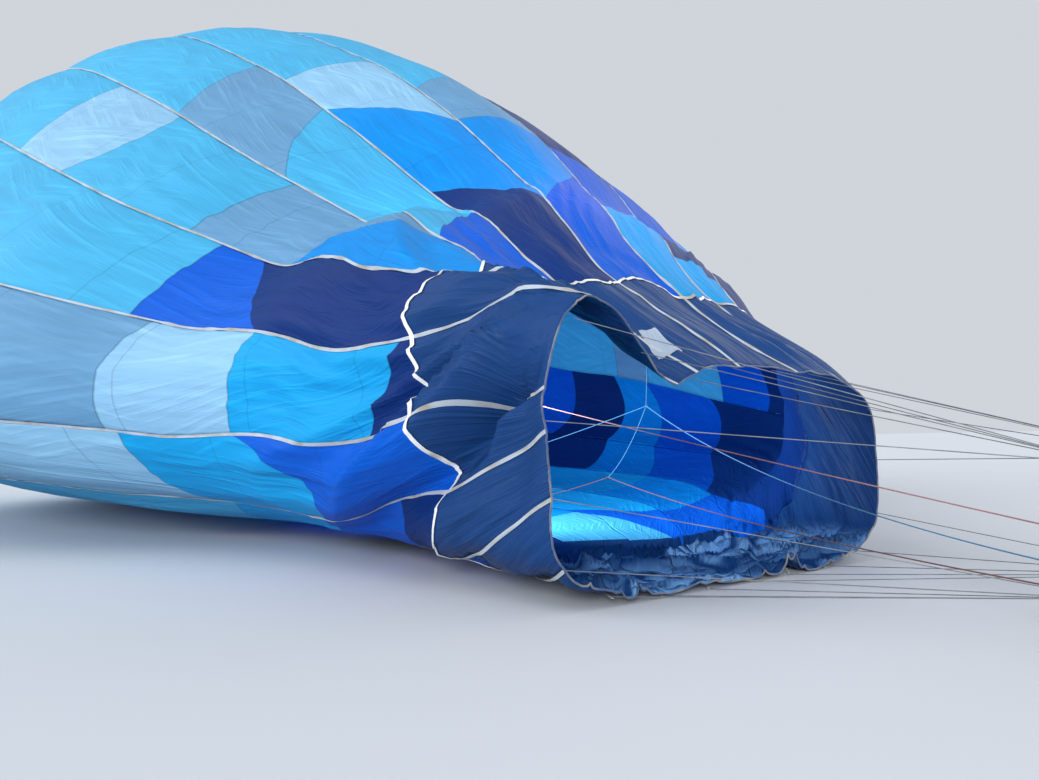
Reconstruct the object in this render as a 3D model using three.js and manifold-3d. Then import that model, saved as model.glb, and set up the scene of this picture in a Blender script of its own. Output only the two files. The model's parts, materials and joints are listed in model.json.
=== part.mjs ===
// Hot air balloon on the ground while a fan fills it with cold air. The envelope lies on its side, its mouth
// is held open, and the basket lies on its long side in front of the mouth. Millimetres, +Z up.
// The origin is on the ground under the middle of the mouth. The mouth faces +X and the crown -X.
// The near flank is -Y and the far flank +Y.
import * as THREE from 'three';
import { mergeVertices } from 'three/addons/utils/BufferGeometryUtils.js';
import Module from 'manifold-3d';

const wasm = await Module();
wasm.setup();

// Driving dimensions of the envelope
const GORES = 20;
const SHELL = 10;
const SEAM_GAP = 0.3;
const BASE_END = -1300;
const QUADS_PER_GORE = 4;
const BASE_PANELS = 5;
const BILLOW = 0.035;

// A fold runs along the near shoulder, with a ridge beside it. Each place is counted in twentieths of the girth from
// the middle of the underside, up the near flank.
const VALLEY = { place: 8.4, spread: 0.6 };
const RIDGE = { place: 7.0, spread: 0.9 };

// The mouth is held turned about the envelope's length, so near it the gores lie further up the near flank
const TWIST = 2.35;
const TWIST_REACH = 2600;

// Cross sections of the envelope from the mouth to the vent's rim. x is the place, near and far are the flanks,
// under and top the heights, belly the share of the height at which it is widest, low and high how square the
// lower and upper halves are, and valley and ridge how far the fold sinks and the ridge stands up.
const SECTIONS = [
  // x, near, far, under, top, belly, low, high, valley, ridge
  [0, -1950, 1720, 0, 1640, 0.47, 4.0, 4.0, 180, 420],
  [-1300, -2300, 2450, 0, 2500, 0.45, 3.0, 2.6, 160, 250],
  [-3000, -2800, 4500, 0, 3800, 0.41, 2.8, 1.85, 160, 120],
  [-4500, -3600, 6900, 0, 4750, 0.38, 2.6, 1.3, 180, 60],
  [-6500, -5500, 9200, 0, 6450, 0.29, 2.1, 1.4, 90, 0],
  [-9000, -6300, 10000, 0, 8150, 0.22, 1.95, 1.6, 20, 0],
  [-12500, -6700, 9300, 0, 9900, 0.22, 2.0, 1.8, 0, 0],
  [-15500, -5750, 8000, 0, 10300, 0.30, 2.1, 1.95, 0, 0],
  [-17300, -4100, 6350, 500, 9200, 0.44, 2.1, 2.0, 0, 0],
  [-18300, -1900, 3850, 1700, 7600, 0.5, 2.0, 2.0, 0, 0],
  [-18700, -750, 2650, 2900, 6300, 0.5, 2.0, 2.0, 0, 0],
];
const BASE_STATIONS = [0, -330, -650, -970, BASE_END];
const GORE_STATIONS = [BASE_END, -2100, -3000, -3900, -5000, -6200, -7500, -9000, -10600, -12200, -13800,
  -15300, -16500, -17400, -18000, -18400, -18700];

// Driving dimensions of the crown
const VENT_X = -18700;
const VENT_Y = 950;
const VENT_Z = 4600;
const VENT_HOLE_R = 1700;
const VENT_R = 1880;
const VENT_RIM_X = VENT_X + 130;
const VENT_BULGE = 220;
const CROWN_X = VENT_X - 170;
const CROWN_PLATE_R = 215;
const TAPE_WIDTH = 60;
const TAPE_THICKNESS = 8;

// Driving dimensions of the basket in its own frame, z up from the underside of its skids, before it is laid down
const BASKET_FLOOR_X = 4700;
const BASKET_Y = 150;
const BASKET_DEPTH = 1150;
const BASKET_WIDTH = 1500;
const WALL = 24;
const SKID = 30;
const FLOOR = 18;
const RIM_Z = 1110;
const RIM_R = 42;
const RIM_CORNER = 90;
const FOOTHOLE = [170, 110];
const UPRIGHT_R = 34;
const LOAD_Z = 2060;
const LOAD_DEPTH = 760;
const LOAD_WIDTH = 1060;
const LOAD_TUBE_R = 16;
const GIMBAL_DEPTH = 560;
const GIMBAL_WIDTH = 820;
const GIMBAL_TUBE_R = 12;
const PIN_R = 8.5;
const BORE_R = 9.2;
const BOSS_R = 20;
const CAN_R = 122;
const CAN_WALL = 4;
const CAN_BOTTOM = 120;
const CAN_HEIGHT = 330;
const CAN_SPREAD = 140;
const COIL_R = 92;
const COIL_TUBE_R = 8;
const COIL_TURNS = 3;
const TANK_R = 150;
const TANK_BODY = 640;
const LUG_HOLE_R = 15;
const LINK_R = 6;
const WIRE_R = 3;
const CLEAR = 0.3;

const fabric = (color) => new THREE.MeshStandardMaterial({ color, roughness: 0.55, metalness: 0 });
const MATERIALS = {
  sky: fabric(0x4fb4ee),
  azure: fabric(0x1f9fee),
  royal: fabric(0x1f64dd),
  navy: fabric(0x22448f),
  slate: fabric(0x36537f),
  tape: fabric(0xb4c2d4),
  padding: new THREE.MeshStandardMaterial({ color: 0xb3202e, roughness: 0.6, metalness: 0 }),
  wicker: new THREE.MeshStandardMaterial({ color: 0xd9b877, roughness: 0.8, metalness: 0 }),
  wood: new THREE.MeshStandardMaterial({ color: 0x9a6b3c, roughness: 0.7, metalness: 0 }),
  steel: new THREE.MeshStandardMaterial({ color: 0xc4c7cb, roughness: 0.3, metalness: 1 }),
  aluminium: new THREE.MeshStandardMaterial({ color: 0xb9bcc0, roughness: 0.4, metalness: 1 }),
};

const balloon = new THREE.Group();
const basket = new THREE.Group();
basket.position.set(BASKET_FLOOR_X, BASKET_Y, BASKET_DEPTH / 2 + RIM_R);
basket.rotation.y = -Math.PI / 2;
balloon.add(basket);

function addPiece(parent, name, geometry, material) {
  const mesh = new THREE.Mesh(geometry, material);
  mesh.name = name;
  parent.add(mesh);
  return mesh;
}

// Boolean joins and cuts
function toSolid(geometry) {
  const bare = geometry.clone();
  bare.deleteAttribute('normal');
  bare.deleteAttribute('uv');
  const merged = mergeVertices(bare, 1e-3);
  return new wasm.Manifold(new wasm.Mesh({
    numProp: 3,
    vertProperties: new Float32Array(merged.attributes.position.array),
    triVerts: new Uint32Array(merged.index.array),
  }));
}

function toGeometry(solid) {
  const mesh = solid.getMesh();
  const geometry = new THREE.BufferGeometry();
  geometry.setAttribute('position', new THREE.BufferAttribute(new Float32Array(mesh.vertProperties), 3));
  geometry.setIndex(new THREE.BufferAttribute(new Uint32Array(mesh.triVerts), 1));
  geometry.computeVertexNormals();
  return geometry;
}

function join(geometries, cuts = []) {
  let solid = toSolid(geometries[0]);
  for (const geometry of geometries.slice(1)) {
    solid = solid.add(toSolid(geometry));
  }
  for (const cut of cuts) {
    solid = solid.subtract(toSolid(cut));
  }
  return toGeometry(solid);
}

// A cylinder between two points
function rod(from, to, radius, sides) {
  const a = new THREE.Vector3(...from);
  const b = new THREE.Vector3(...to);
  const geometry = new THREE.CylinderGeometry(radius, radius, a.distanceTo(b), sides);
  const turn = new THREE.Quaternion().setFromUnitVectors(
    new THREE.Vector3(0, 1, 0),
    b.clone().sub(a).normalize(),
  );
  geometry.applyQuaternion(turn);
  const middle = a.clone().add(b).multiplyScalar(0.5);
  return geometry.translate(middle.x, middle.y, middle.z);
}

function box(x, y, z, [cx, cy, cz]) {
  return new THREE.BoxGeometry(x, y, z).translate(cx, cy, cz);
}

// A closed grid of points as a surface. Both directions wrap round when closedRows is true.
function gridGeometry(rows, closedRows) {
  const across = rows[0].length;
  const positions = rows.flat().flatMap((p) => [p.x, p.y, p.z]);
  const index = [];
  const last = closedRows ? rows.length : rows.length - 1;
  for (let i = 0; i < last; i += 1) {
    const next = (i + 1) % rows.length;
    for (let j = 0; j < across; j += 1) {
      const k = (j + 1) % across;
      const [a, b, c, d] = [i * across + j, i * across + k, next * across + k, next * across + j];
      // The second half runs back along the inner face, so its other diagonal keeps the wall's thickness even
      if (j >= across / 2) {
        index.push(a, b, d, b, c, d);
      } else {
        index.push(a, b, c, a, c, d);
      }
    }
  }
  const geometry = new THREE.BufferGeometry();
  geometry.setAttribute('position', new THREE.Float32BufferAttribute(positions, 3));
  geometry.setIndex(index);
  geometry.computeVertexNormals();
  return geometry;
}

// A round tube swept along a closed flat path. The path lies in the plane of the two given axes.
function ringTube(path, radius, sides, normal) {
  const up = new THREE.Vector3(...normal);
  const rows = path.map((point, i) => {
    const before = path[(i + path.length - 1) % path.length];
    const after = path[(i + 1) % path.length];
    const along = after.clone().sub(before).normalize();
    const out = up.clone().cross(along);
    const row = [];
    for (let s = 0; s < sides; s += 1) {
      const angle = (2 * Math.PI * s) / sides;
      row.push(point.clone()
        .addScaledVector(out, radius * Math.cos(angle))
        .addScaledVector(up, radius * Math.sin(angle)));
    }
    return row;
  });
  return gridGeometry(rows, true);
}

function roundedRectangle(depth, width, corner, z, steps = 3) {
  const path = [];
  const centres = [[1, 1, 0], [-1, 1, 90], [-1, -1, 180], [1, -1, 270]];
  for (const [sx, sy, start] of centres) {
    for (let i = 0; i <= steps; i += 1) {
      const angle = THREE.MathUtils.degToRad(start + (90 * i) / steps);
      path.push(new THREE.Vector3(
        sx * (depth / 2 - corner) + corner * Math.cos(angle),
        sy * (width / 2 - corner) + corner * Math.sin(angle),
        z,
      ));
    }
  }
  return path;
}

// Envelope sections
const SECTION_KEYS = ['near', 'far', 'under', 'top', 'belly', 'low', 'high', 'valley', 'ridge'];

// A smooth curve through the table's values that never swings past them
function smoothColumn(column) {
  const s = SECTIONS.map((row) => -row[0]);
  const v = SECTIONS.map((row) => row[column]);
  const slope = s.slice(1).map((_, i) => (v[i + 1] - v[i]) / (s[i + 1] - s[i]));
  const tangent = v.map((_, i) => {
    if (i === 0) return slope[0];
    if (i === v.length - 1) return slope[i - 1];
    const [a, b] = [slope[i - 1], slope[i]];
    return a * b > 0 ? (2 * a * b) / (a + b) : 0;
  });
  return (x) => {
    let i = 0;
    while (i < s.length - 2 && -x > s[i + 1]) i += 1;
    const h = s[i + 1] - s[i];
    const t = (-x - s[i]) / h;
    return v[i] * (1 + 2 * t) * (1 - t) ** 2 + tangent[i] * h * t * (1 - t) ** 2
      + v[i + 1] * t * t * (3 - 2 * t) + tangent[i + 1] * h * t * t * (t - 1);
  };
}

const columns = Object.fromEntries(SECTION_KEYS.map((key, i) => [key, smoothColumn(i + 1)]));
const OUTLINE_STEPS = 240;

// The outline of the section at x, as points spaced evenly by length, from the middle of the underside up the
// near flank, over the top and down the far flank
function outline(x) {
  const at = Object.fromEntries(SECTION_KEYS.map((key) => [key, columns[key](x)]));
  const middle = (at.near + at.far) / 2;
  const half = (at.far - at.near) / 2;
  const widest = at.under + at.belly * (at.top - at.under);
  const raw = [];
  for (let i = 0; i <= OUTLINE_STEPS; i += 1) {
    const angle = (2 * Math.PI * i) / OUTLINE_STEPS;
    const [sine, cosine] = [Math.sin(angle), Math.cos(angle)];
    const power = 2 / (cosine > 0 ? at.low : at.high);
    const bend = (value) => Math.sign(value) * Math.abs(value) ** power;
    const reach = cosine > 0 ? widest - at.under : at.top - widest;
    raw.push([middle - half * bend(sine), widest - reach * bend(cosine)]);
  }
  const length = [0];
  for (let i = 1; i <= OUTLINE_STEPS; i += 1) {
    length.push(length[i - 1] + Math.hypot(raw[i][0] - raw[i - 1][0], raw[i][1] - raw[i - 1][1]));
  }
  const girth = length[OUTLINE_STEPS];
  const point = (gore) => {
    const target = ((((gore % GORES) + GORES) % GORES) / GORES) * girth;
    let i = 1;
    while (length[i] < target) i += 1;
    const t = (target - length[i - 1]) / (length[i] - length[i - 1]);
    return [raw[i - 1][0] + t * (raw[i][0] - raw[i - 1][0]), raw[i - 1][1] + t * (raw[i][1] - raw[i - 1][1])];
  };
  const swell = (place, form) => Math.exp(-(((place - form.place) / form.spread) ** 2));
  const lift = (place) => at.ridge * swell(place, RIDGE) - at.valley * swell(place, VALLEY);
  return { girth, point, lift };
}

// A point of the envelope's outer face, at x and at a place counted in gores from the middle of the underside.
// Between two load tapes the cloth billows out, and the ground holds it up.
function envelopePoint(x, gore) {
  const section = outline(x);
  const place = gore + TWIST * Math.max(0, 1 + x / TWIST_REACH) ** 2;
  const step = 0.15;
  const [ya, za] = section.point(place - step);
  const [yb, zb] = section.point(place + step);
  const [y, z] = section.point(place);
  const length = Math.hypot(yb - ya, zb - za);
  const across = (((gore + 0.5) % 1) + 1) % 1;
  const billow = BILLOW * (section.girth / GORES) * 4 * across * (1 - across);
  const out = section.lift(place) + billow;
  return new THREE.Vector3(x, y - (out * (zb - za)) / length, Math.max(0, z + (out * (yb - ya)) / length));
}

function envelopeNormal(x, gore) {
  const along = envelopePoint(Math.max(x - 20, VENT_X), gore).sub(envelopePoint(Math.min(x + 20, 0), gore));
  const round = envelopePoint(x, gore + 0.05).sub(envelopePoint(x, gore - 0.05));
  return round.cross(along).normalize();
}

// A shell between two places round the envelope and along a list of stations
function shellPanel(stations, fromGore, toGore) {
  const quads = Math.round((toGore - fromGore) * QUADS_PER_GORE);
  const rows = stations.map((station, i) => {
    const inset = i === 0 ? -SEAM_GAP / 2 : (i === stations.length - 1 ? SEAM_GAP / 2 : 0);
    const x = Math.min(0, station + inset);
    const trim = (SEAM_GAP / 2 / outline(x).girth) * GORES;
    const outer = [];
    const inner = [];
    for (let j = 0; j <= quads; j += 1) {
      const t = j / quads;
      const gore = fromGore + trim + (toGore - fromGore - 2 * trim) * t;
      const p = envelopePoint(x, gore);
      outer.push(p);
      inner.push(p.clone().addScaledVector(envelopeNormal(x, gore), -SHELL));
    }
    return [...outer, ...inner.reverse()];
  });
  const geometry = gridGeometry(rows, false);
  const across = rows[0].length;
  const index = [...geometry.index.array];
  const half = across / 2;
  const end = (rows.length - 1) * across;
  for (let j = 0; j < half - 1; j += 1) {
    const [a, b, c, d] = [j, j + 1, across - 2 - j, across - 1 - j];
    index.push(a, c, b, a, d, c);
    index.push(end + a, end + b, end + c, end + a, end + c, end + d);
  }
  geometry.setIndex(index);
  geometry.computeVertexNormals();
  return geometry;
}

const pad2 = (number) => String(number).padStart(2, '0');

// The gores, sewn side by side, from the load tape above the mouth to the rim of the vent
const GORE_COLOURS = ['royal', 'azure', 'sky', 'azure'];
for (let g = 0; g < GORES; g += 1) {
  const material = MATERIALS[GORE_COLOURS[g % GORE_COLOURS.length]];
  addPiece(balloon, `gore_${pad2(g + 1)}`, shellPanel(GORE_STATIONS, g - 0.5, g + 0.5), material);
}

// The flame-proof panels round the mouth
const GORES_PER_PANEL = GORES / BASE_PANELS;
for (let p = 0; p < BASE_PANELS; p += 1) {
  const from = p * GORES_PER_PANEL - 2.5;
  const geometry = shellPanel(BASE_STATIONS, from, from + GORES_PER_PANEL);
  addPiece(balloon, `mouth_panel_${p + 1}`, geometry, MATERIALS.slate);
}

// The load tapes that cross the vent's hole and meet at the crown plate, with the stud that centres the vent panel
function crownTapes() {
  const inner = CROWN_PLATE_R - 12;
  const length = VENT_HOLE_R + 6 - inner;
  const drop = VENT_X - TAPE_THICKNESS / 2 - CROWN_X;
  const lean = Math.atan2(drop, length);
  const stud = VENT_RIM_X - VENT_BULGE - CLEAR;
  const pieces = [
    rod([CROWN_X - 8, 0, 0], [CROWN_X + 8, 0, 0], CROWN_PLATE_R, 2 * GORES),
    rod([CROWN_X, 0, 0], [stud, 0, 0], 40, 16),
  ];
  for (let g = 0; g < GORES; g += 1) {
    const rim = envelopePoint(VENT_X, g + 0.5);
    const strap = new THREE.BoxGeometry(TAPE_THICKNESS, TAPE_WIDTH, length / Math.cos(lean));
    strap.rotateY(lean);
    strap.translate(CROWN_X + drop / 2, 0, inner + length / 2);
    strap.rotateX(-Math.atan2(rim.y - VENT_Y, rim.z - VENT_Z));
    pieces.push(strap);
  }
  return join(pieces).translate(0, VENT_Y, VENT_Z);
}
addPiece(balloon, 'crown_tapes', crownTapes(), MATERIALS.tape);

// The round valve panel that closes the vent from inside, domed outwards
function ventPanel() {
  const rings = 4;
  const outer = [];
  for (let i = 0; i <= rings; i += 1) {
    const r = (VENT_R * i) / rings;
    outer.push(new THREE.Vector2(r, VENT_BULGE * (1 - (r / VENT_R) ** 2)));
  }
  const inner = outer.map((p) => new THREE.Vector2(p.x, p.y - SHELL));
  const panel = new THREE.LatheGeometry([...inner, ...outer.reverse()], 32);
  return panel.rotateZ(Math.PI / 2).translate(VENT_RIM_X, VENT_Y, VENT_Z);
}
addPiece(balloon, 'vent_panel', ventPanel(), MATERIALS.navy);

// The load frame, in the basket's own frame, with a socket for each upright and a lug for each flying-wire link
const CORNERS = [[-1, -1], [-1, 1], [1, 1], [1, -1]];
const CORNER_NAMES = ['low_near', 'low_far', 'top_far', 'top_near'];
const socketPlace = ([sx, sy]) => [sx * (LOAD_DEPTH / 2 - 70), sy * (LOAD_WIDTH / 2 - 30)];
const LUG_Z = LOAD_Z + 42;
const lugPlace = ([sx, sy]) => [sx * (LOAD_DEPTH / 2 - 45), sy * (LOAD_WIDTH / 2)];

function loadFrame() {
  const pieces = [ringTube(roundedRectangle(LOAD_DEPTH, LOAD_WIDTH, 90, LOAD_Z), LOAD_TUBE_R, 8, [0, 0, 1])];
  const cuts = [];
  for (const corner of CORNERS) {
    const [x, y] = socketPlace(corner);
    pieces.push(rod([x, y, LOAD_Z - 95], [x, y, LOAD_Z], 21, 16));
    const [lugX, lugY] = lugPlace(corner);
    pieces.push(box(56, 12, 72, [lugX, lugY, LUG_Z - 10]));
    cuts.push(rod([lugX, lugY - 10, LUG_Z], [lugX, lugY + 10, LUG_Z], LUG_HOLE_R, 20));
  }
  for (const side of [-1, 1]) {
    const face = side * (LOAD_WIDTH / 2);
    pieces.push(rod([0, face - side * 34, LOAD_Z], [0, face + side * 20, LOAD_Z], BOSS_R, 12));
    cuts.push(rod([0, face - side * 40, LOAD_Z], [0, face + side * 26, LOAD_Z], BORE_R, 16));
  }
  return join(pieces, cuts);
}
addPiece(basket, 'load_frame', loadFrame(), MATERIALS.steel);

// The gimbal frame turns in the load frame about the basket's y axis and carries the burner about its x axis
function gimbalFrame() {
  const rail = roundedRectangle(GIMBAL_DEPTH, GIMBAL_WIDTH, 110, LOAD_Z);
  const pieces = [ringTube(rail, GIMBAL_TUBE_R, 8, [0, 0, 1])];
  const cuts = [];
  for (const side of [-1, 1]) {
    const end = side * (GIMBAL_WIDTH / 2);
    pieces.push(rod([0, end, LOAD_Z], [0, side * (LOAD_WIDTH / 2 + 14), LOAD_Z], PIN_R, 16));
    const bar = side * (GIMBAL_DEPTH / 2);
    pieces.push(rod([bar - side * 26, 0, LOAD_Z], [bar + side * 20, 0, LOAD_Z], BOSS_R, 12));
    cuts.push(rod([bar - side * 32, 0, LOAD_Z], [bar + side * 26, 0, LOAD_Z], BORE_R, 16));
  }
  return join(pieces, cuts);
}
addPiece(basket, 'gimbal_frame', gimbalFrame(), MATERIALS.steel);

// The burner's block: a cross tube with its pins, a plate and the two valve bodies
function burnerBlock() {
  const reach = GIMBAL_DEPTH / 2 + 14;
  const pieces = [
    rod([-reach, 0, LOAD_Z], [reach, 0, LOAD_Z], PIN_R, 16),
    rod([-GIMBAL_DEPTH / 2 + 40, 0, LOAD_Z], [GIMBAL_DEPTH / 2 - 40, 0, LOAD_Z], 17, 16),
    box(130, 4 * CAN_SPREAD - 80, 12, [0, 0, LOAD_Z + 40]),
    box(60, 40, 60, [0, 0, LOAD_Z + 15]),
  ];
  for (const side of [-1, 1]) {
    const y = side * CAN_SPREAD;
    pieces.push(box(70, 64, 110, [0, y, LOAD_Z - 10]));
    pieces.push(rod([0, y, LOAD_Z + 40], [0, y, LOAD_Z + CAN_BOTTOM + 30], 20, 16));
    pieces.push(rod([-90, y, LOAD_Z - 40], [90, y, LOAD_Z - 40], 11, 12));
  }
  return join(pieces);
}
addPiece(basket, 'burner_block', burnerBlock(), MATERIALS.aluminium);

// One burner can: an open steel shell round its coil, with a cross of two straps at its foot
function burnerCan(y) {
  const foot = LOAD_Z + CAN_BOTTOM;
  const shell = new THREE.LatheGeometry([
    new THREE.Vector2(CAN_R - CAN_WALL, 0),
    new THREE.Vector2(CAN_R, 0),
    new THREE.Vector2(CAN_R, CAN_HEIGHT),
    new THREE.Vector2(CAN_R - CAN_WALL, CAN_HEIGHT),
    new THREE.Vector2(CAN_R - CAN_WALL, 0),
  ], 24);
  shell.rotateX(Math.PI / 2).translate(0, y, foot);
  const cut = rod([0, y, foot - 30], [0, y, foot + 60], 20 + CLEAR, 16);
  const across = 2 * CAN_R - CAN_WALL;
  return join([shell, box(across, 24, 6, [0, y, foot + 6]), box(24, across, 6, [0, y, foot + 6])], [cut]);
}

// The vaporising coil, wound inside the can and carried on a stem from the valve body
function burnerCoil(y) {
  const turns = COIL_TURNS;
  const rise = CAN_HEIGHT * 0.55;
  const bottom = LOAD_Z + CAN_BOTTOM + 60;
  class Helix extends THREE.Curve {
    getPoint(t) {
      const angle = 2 * Math.PI * turns * t;
      const point = [COIL_R * Math.cos(angle), y + COIL_R * Math.sin(angle), bottom + rise * t];
      return new THREE.Vector3(...point);
    }
  }
  const section = new THREE.Shape();
  section.absarc(0, 0, COIL_TUBE_R, 0, 2 * Math.PI);
  const coil = new THREE.ExtrudeGeometry(section, {
    steps: 10 * turns, extrudePath: new Helix(), curveSegments: 3, bevelEnabled: false,
  });
  const stem = LOAD_Z + CAN_BOTTOM + 30 + CLEAR;
  const feed = [
    rod([0, y, stem], [0, y, bottom + 14], 18, 12),
    rod([0, y, bottom], [COIL_R, y, bottom], COIL_TUBE_R, 8),
  ];
  return join([coil, ...feed]);
}
[-1, 1].forEach((side, i) => {
  addPiece(basket, `burner_can_${i + 1}`, burnerCan(side * CAN_SPREAD), MATERIALS.steel);
  addPiece(basket, `burner_coil_${i + 1}`, burnerCoil(side * CAN_SPREAD), MATERIALS.steel);
});

// Basket floor with its skids, four woven walls, and the padded rim
const INNER_DEPTH = BASKET_DEPTH - 2 * WALL;
const INNER_WIDTH = BASKET_WIDTH - 2 * WALL;

function basketFloor() {
  const pieces = [box(BASKET_DEPTH, BASKET_WIDTH, FLOOR, [0, 0, SKID + FLOOR / 2])];
  for (const x of [-0.36, 0, 0.36]) {
    pieces.push(box(70, BASKET_WIDTH - 60, SKID + 4, [x * BASKET_DEPTH, 0, (SKID + 4) / 2]));
  }
  return join(pieces);
}
addPiece(basket, 'basket_floor', basketFloor(), MATERIALS.wood);

const WALL_BOTTOM = SKID + FLOOR + CLEAR;
const WALL_HEIGHT = RIM_Z - RIM_R - CLEAR - WALL_BOTTOM;
const WALL_MIDDLE = WALL_BOTTOM + WALL_HEIGHT / 2;

function longWall(side) {
  const x = side * (BASKET_DEPTH / 2 - WALL / 2);
  const hole = box(WALL * 3, FOOTHOLE[0], FOOTHOLE[1], [x, 0, WALL_BOTTOM + 430]);
  return join([box(WALL, BASKET_WIDTH, WALL_HEIGHT, [x, 0, WALL_MIDDLE])], [hole]);
}

function endWall(side) {
  const y = side * (BASKET_WIDTH / 2 - WALL / 2);
  return box(INNER_DEPTH - 2 * CLEAR, WALL, WALL_HEIGHT, [0, y, WALL_MIDDLE]);
}
addPiece(basket, 'wall_low', longWall(-1), MATERIALS.wicker);
addPiece(basket, 'wall_top', longWall(1), MATERIALS.wicker);
addPiece(basket, 'wall_near', endWall(-1), MATERIALS.wicker);
addPiece(basket, 'wall_far', endWall(1), MATERIALS.wicker);

const rimPath = roundedRectangle(BASKET_DEPTH - WALL, BASKET_WIDTH - WALL, RIM_CORNER, RIM_Z);
addPiece(basket, 'rim_pad', ringTube(rimPath, RIM_R, 12, [0, 0, 1]), MATERIALS.padding);

// A post with level ends that leans from its foot to its head
function leaningPost(foot, head, radius, sides) {
  const height = head[2] - foot[2];
  const post = new THREE.CylinderGeometry(radius, radius, height, sides).rotateX(Math.PI / 2);
  post.translate(0, 0, height / 2);
  const [kx, ky] = [(head[0] - foot[0]) / height, (head[1] - foot[1]) / height];
  post.applyMatrix4(new THREE.Matrix4().set(1, 0, kx, foot[0], 0, 1, ky, foot[1], 0, 0, 1, foot[2], 0, 0, 0, 1));
  return post;
}

// Padded uprights from the rim's corners to the sockets of the load frame
const rimInset = WALL / 2 + RIM_CORNER * (1 - Math.SQRT1_2);
CORNERS.forEach((corner, i) => {
  const [sx, sy] = corner;
  const foot = [sx * (BASKET_DEPTH / 2 - rimInset), sy * (BASKET_WIDTH / 2 - rimInset), RIM_Z + RIM_R + CLEAR];
  const [x, y] = socketPlace(corner);
  const head = [x, y, LOAD_Z - 95 - CLEAR];
  addPiece(basket, `upright_${CORNER_NAMES[i]}`, leaningPost(foot, head, UPRIGHT_R, 14), MATERIALS.padding);
});

// Fuel tanks stand in the corners on the floor, strapped to the walls
const TANK_PLACES = [[-1, -1], [-1, 1], [1, -1]];
const TANK_X = INNER_DEPTH / 2 - TANK_R - 12;
const TANK_Y = INNER_WIDTH / 2 - TANK_R - 12;
TANK_PLACES.forEach(([sx, sy], i) => {
  const floor = SKID + FLOOR + CLEAR;
  const profile = [
    [0, 0], [TANK_R - 16, 0], [TANK_R - 16, 26], [TANK_R, 60], [TANK_R, TANK_BODY - 40],
    [TANK_R - 40, TANK_BODY + 20], [70, TANK_BODY + 44], [70, TANK_BODY + 110], [0, TANK_BODY + 110],
  ].map(([r, h]) => new THREE.Vector2(r, h));
  const tank = new THREE.LatheGeometry(profile, 20).rotateX(Math.PI / 2);
  tank.translate(sx * TANK_X, sy * TANK_Y, floor);
  addPiece(basket, `fuel_tank_${i + 1}`, tank, MATERIALS.aluminium);
});

// A link hangs in each lug of the load frame, and a group of flying wires runs from it to the mouth's edge
function stadium(centre, length, width, radius) {
  const path = [];
  const half = (length - width) / 2;
  for (let i = 0; i < 16; i += 1) {
    const angle = (2 * Math.PI * (i + 0.5)) / 16;
    const end = Math.sin(angle) > 0 ? half : -half;
    path.push(new THREE.Vector3(0, (width / 2) * Math.cos(angle), end + (width / 2) * Math.sin(angle)).add(centre));
  }
  return ringTube(path, radius, 8, [1, 0, 0]);
}
const LINK_LENGTH = 110;
const LINK_WIDTH = 52;
const LINK_SLACK = 1.3;
const THIMBLE_R = 17;
const THIMBLE_TUBE = 4.5;
const WIRES_PER_LINK = GORES / 4;
const WIRE_START = [-2, 13, 8, 3];
const Z_TO_X = new THREE.Matrix4().set(0, 0, 1, 0, 1, 0, 0, 0, 0, 1, 0, 0, 0, 0, 0, 1);
basket.updateMatrixWorld(true);

CORNERS.forEach((corner, i) => {
  const [x, y] = lugPlace(corner);
  const bottom = LUG_Z + LUG_HOLE_R - LINK_R - LINK_SLACK;
  const centre = new THREE.Vector3(x, y, bottom + LINK_LENGTH / 2);
  addPiece(basket, `wire_link_${CORNER_NAMES[i]}`, stadium(centre, LINK_LENGTH, LINK_WIDTH, LINK_R), MATERIALS.steel);

  // The thimble's hole holds the link's outer end, and the wires spread from the thimble's back
  const middle = bottom + LINK_LENGTH - LINK_R + THIMBLE_R - THIMBLE_TUBE - LINK_SLACK;
  const thimble = new THREE.TorusGeometry(THIMBLE_R, THIMBLE_TUBE, 8, 16).rotateX(Math.PI / 2);
  thimble.translate(x, y, middle).applyMatrix4(basket.matrixWorld);
  const start = new THREE.Vector3(x, y, middle + THIMBLE_R).applyMatrix4(basket.matrixWorld);
  const wires = [];
  for (let w = 0; w < WIRES_PER_LINK; w += 1) {
    const gore = WIRE_START[i] + w + 0.5;
    const normal = envelopeNormal(0, gore);
    const end = envelopePoint(0, gore).addScaledVector(normal, -SHELL / 2);
    end.x = Math.max(0, -SHELL * normal.x) + CLEAR;
    const wire = leaningPost([end.y, end.z, end.x], [start.y, start.z, start.x], WIRE_R, 6);
    wires.push(wire.applyMatrix4(Z_TO_X));
  }
  addPiece(balloon, `flying_wires_${CORNER_NAMES[i]}`, join([thimble, ...wires]), MATERIALS.steel);
});

export default balloon;
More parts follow.
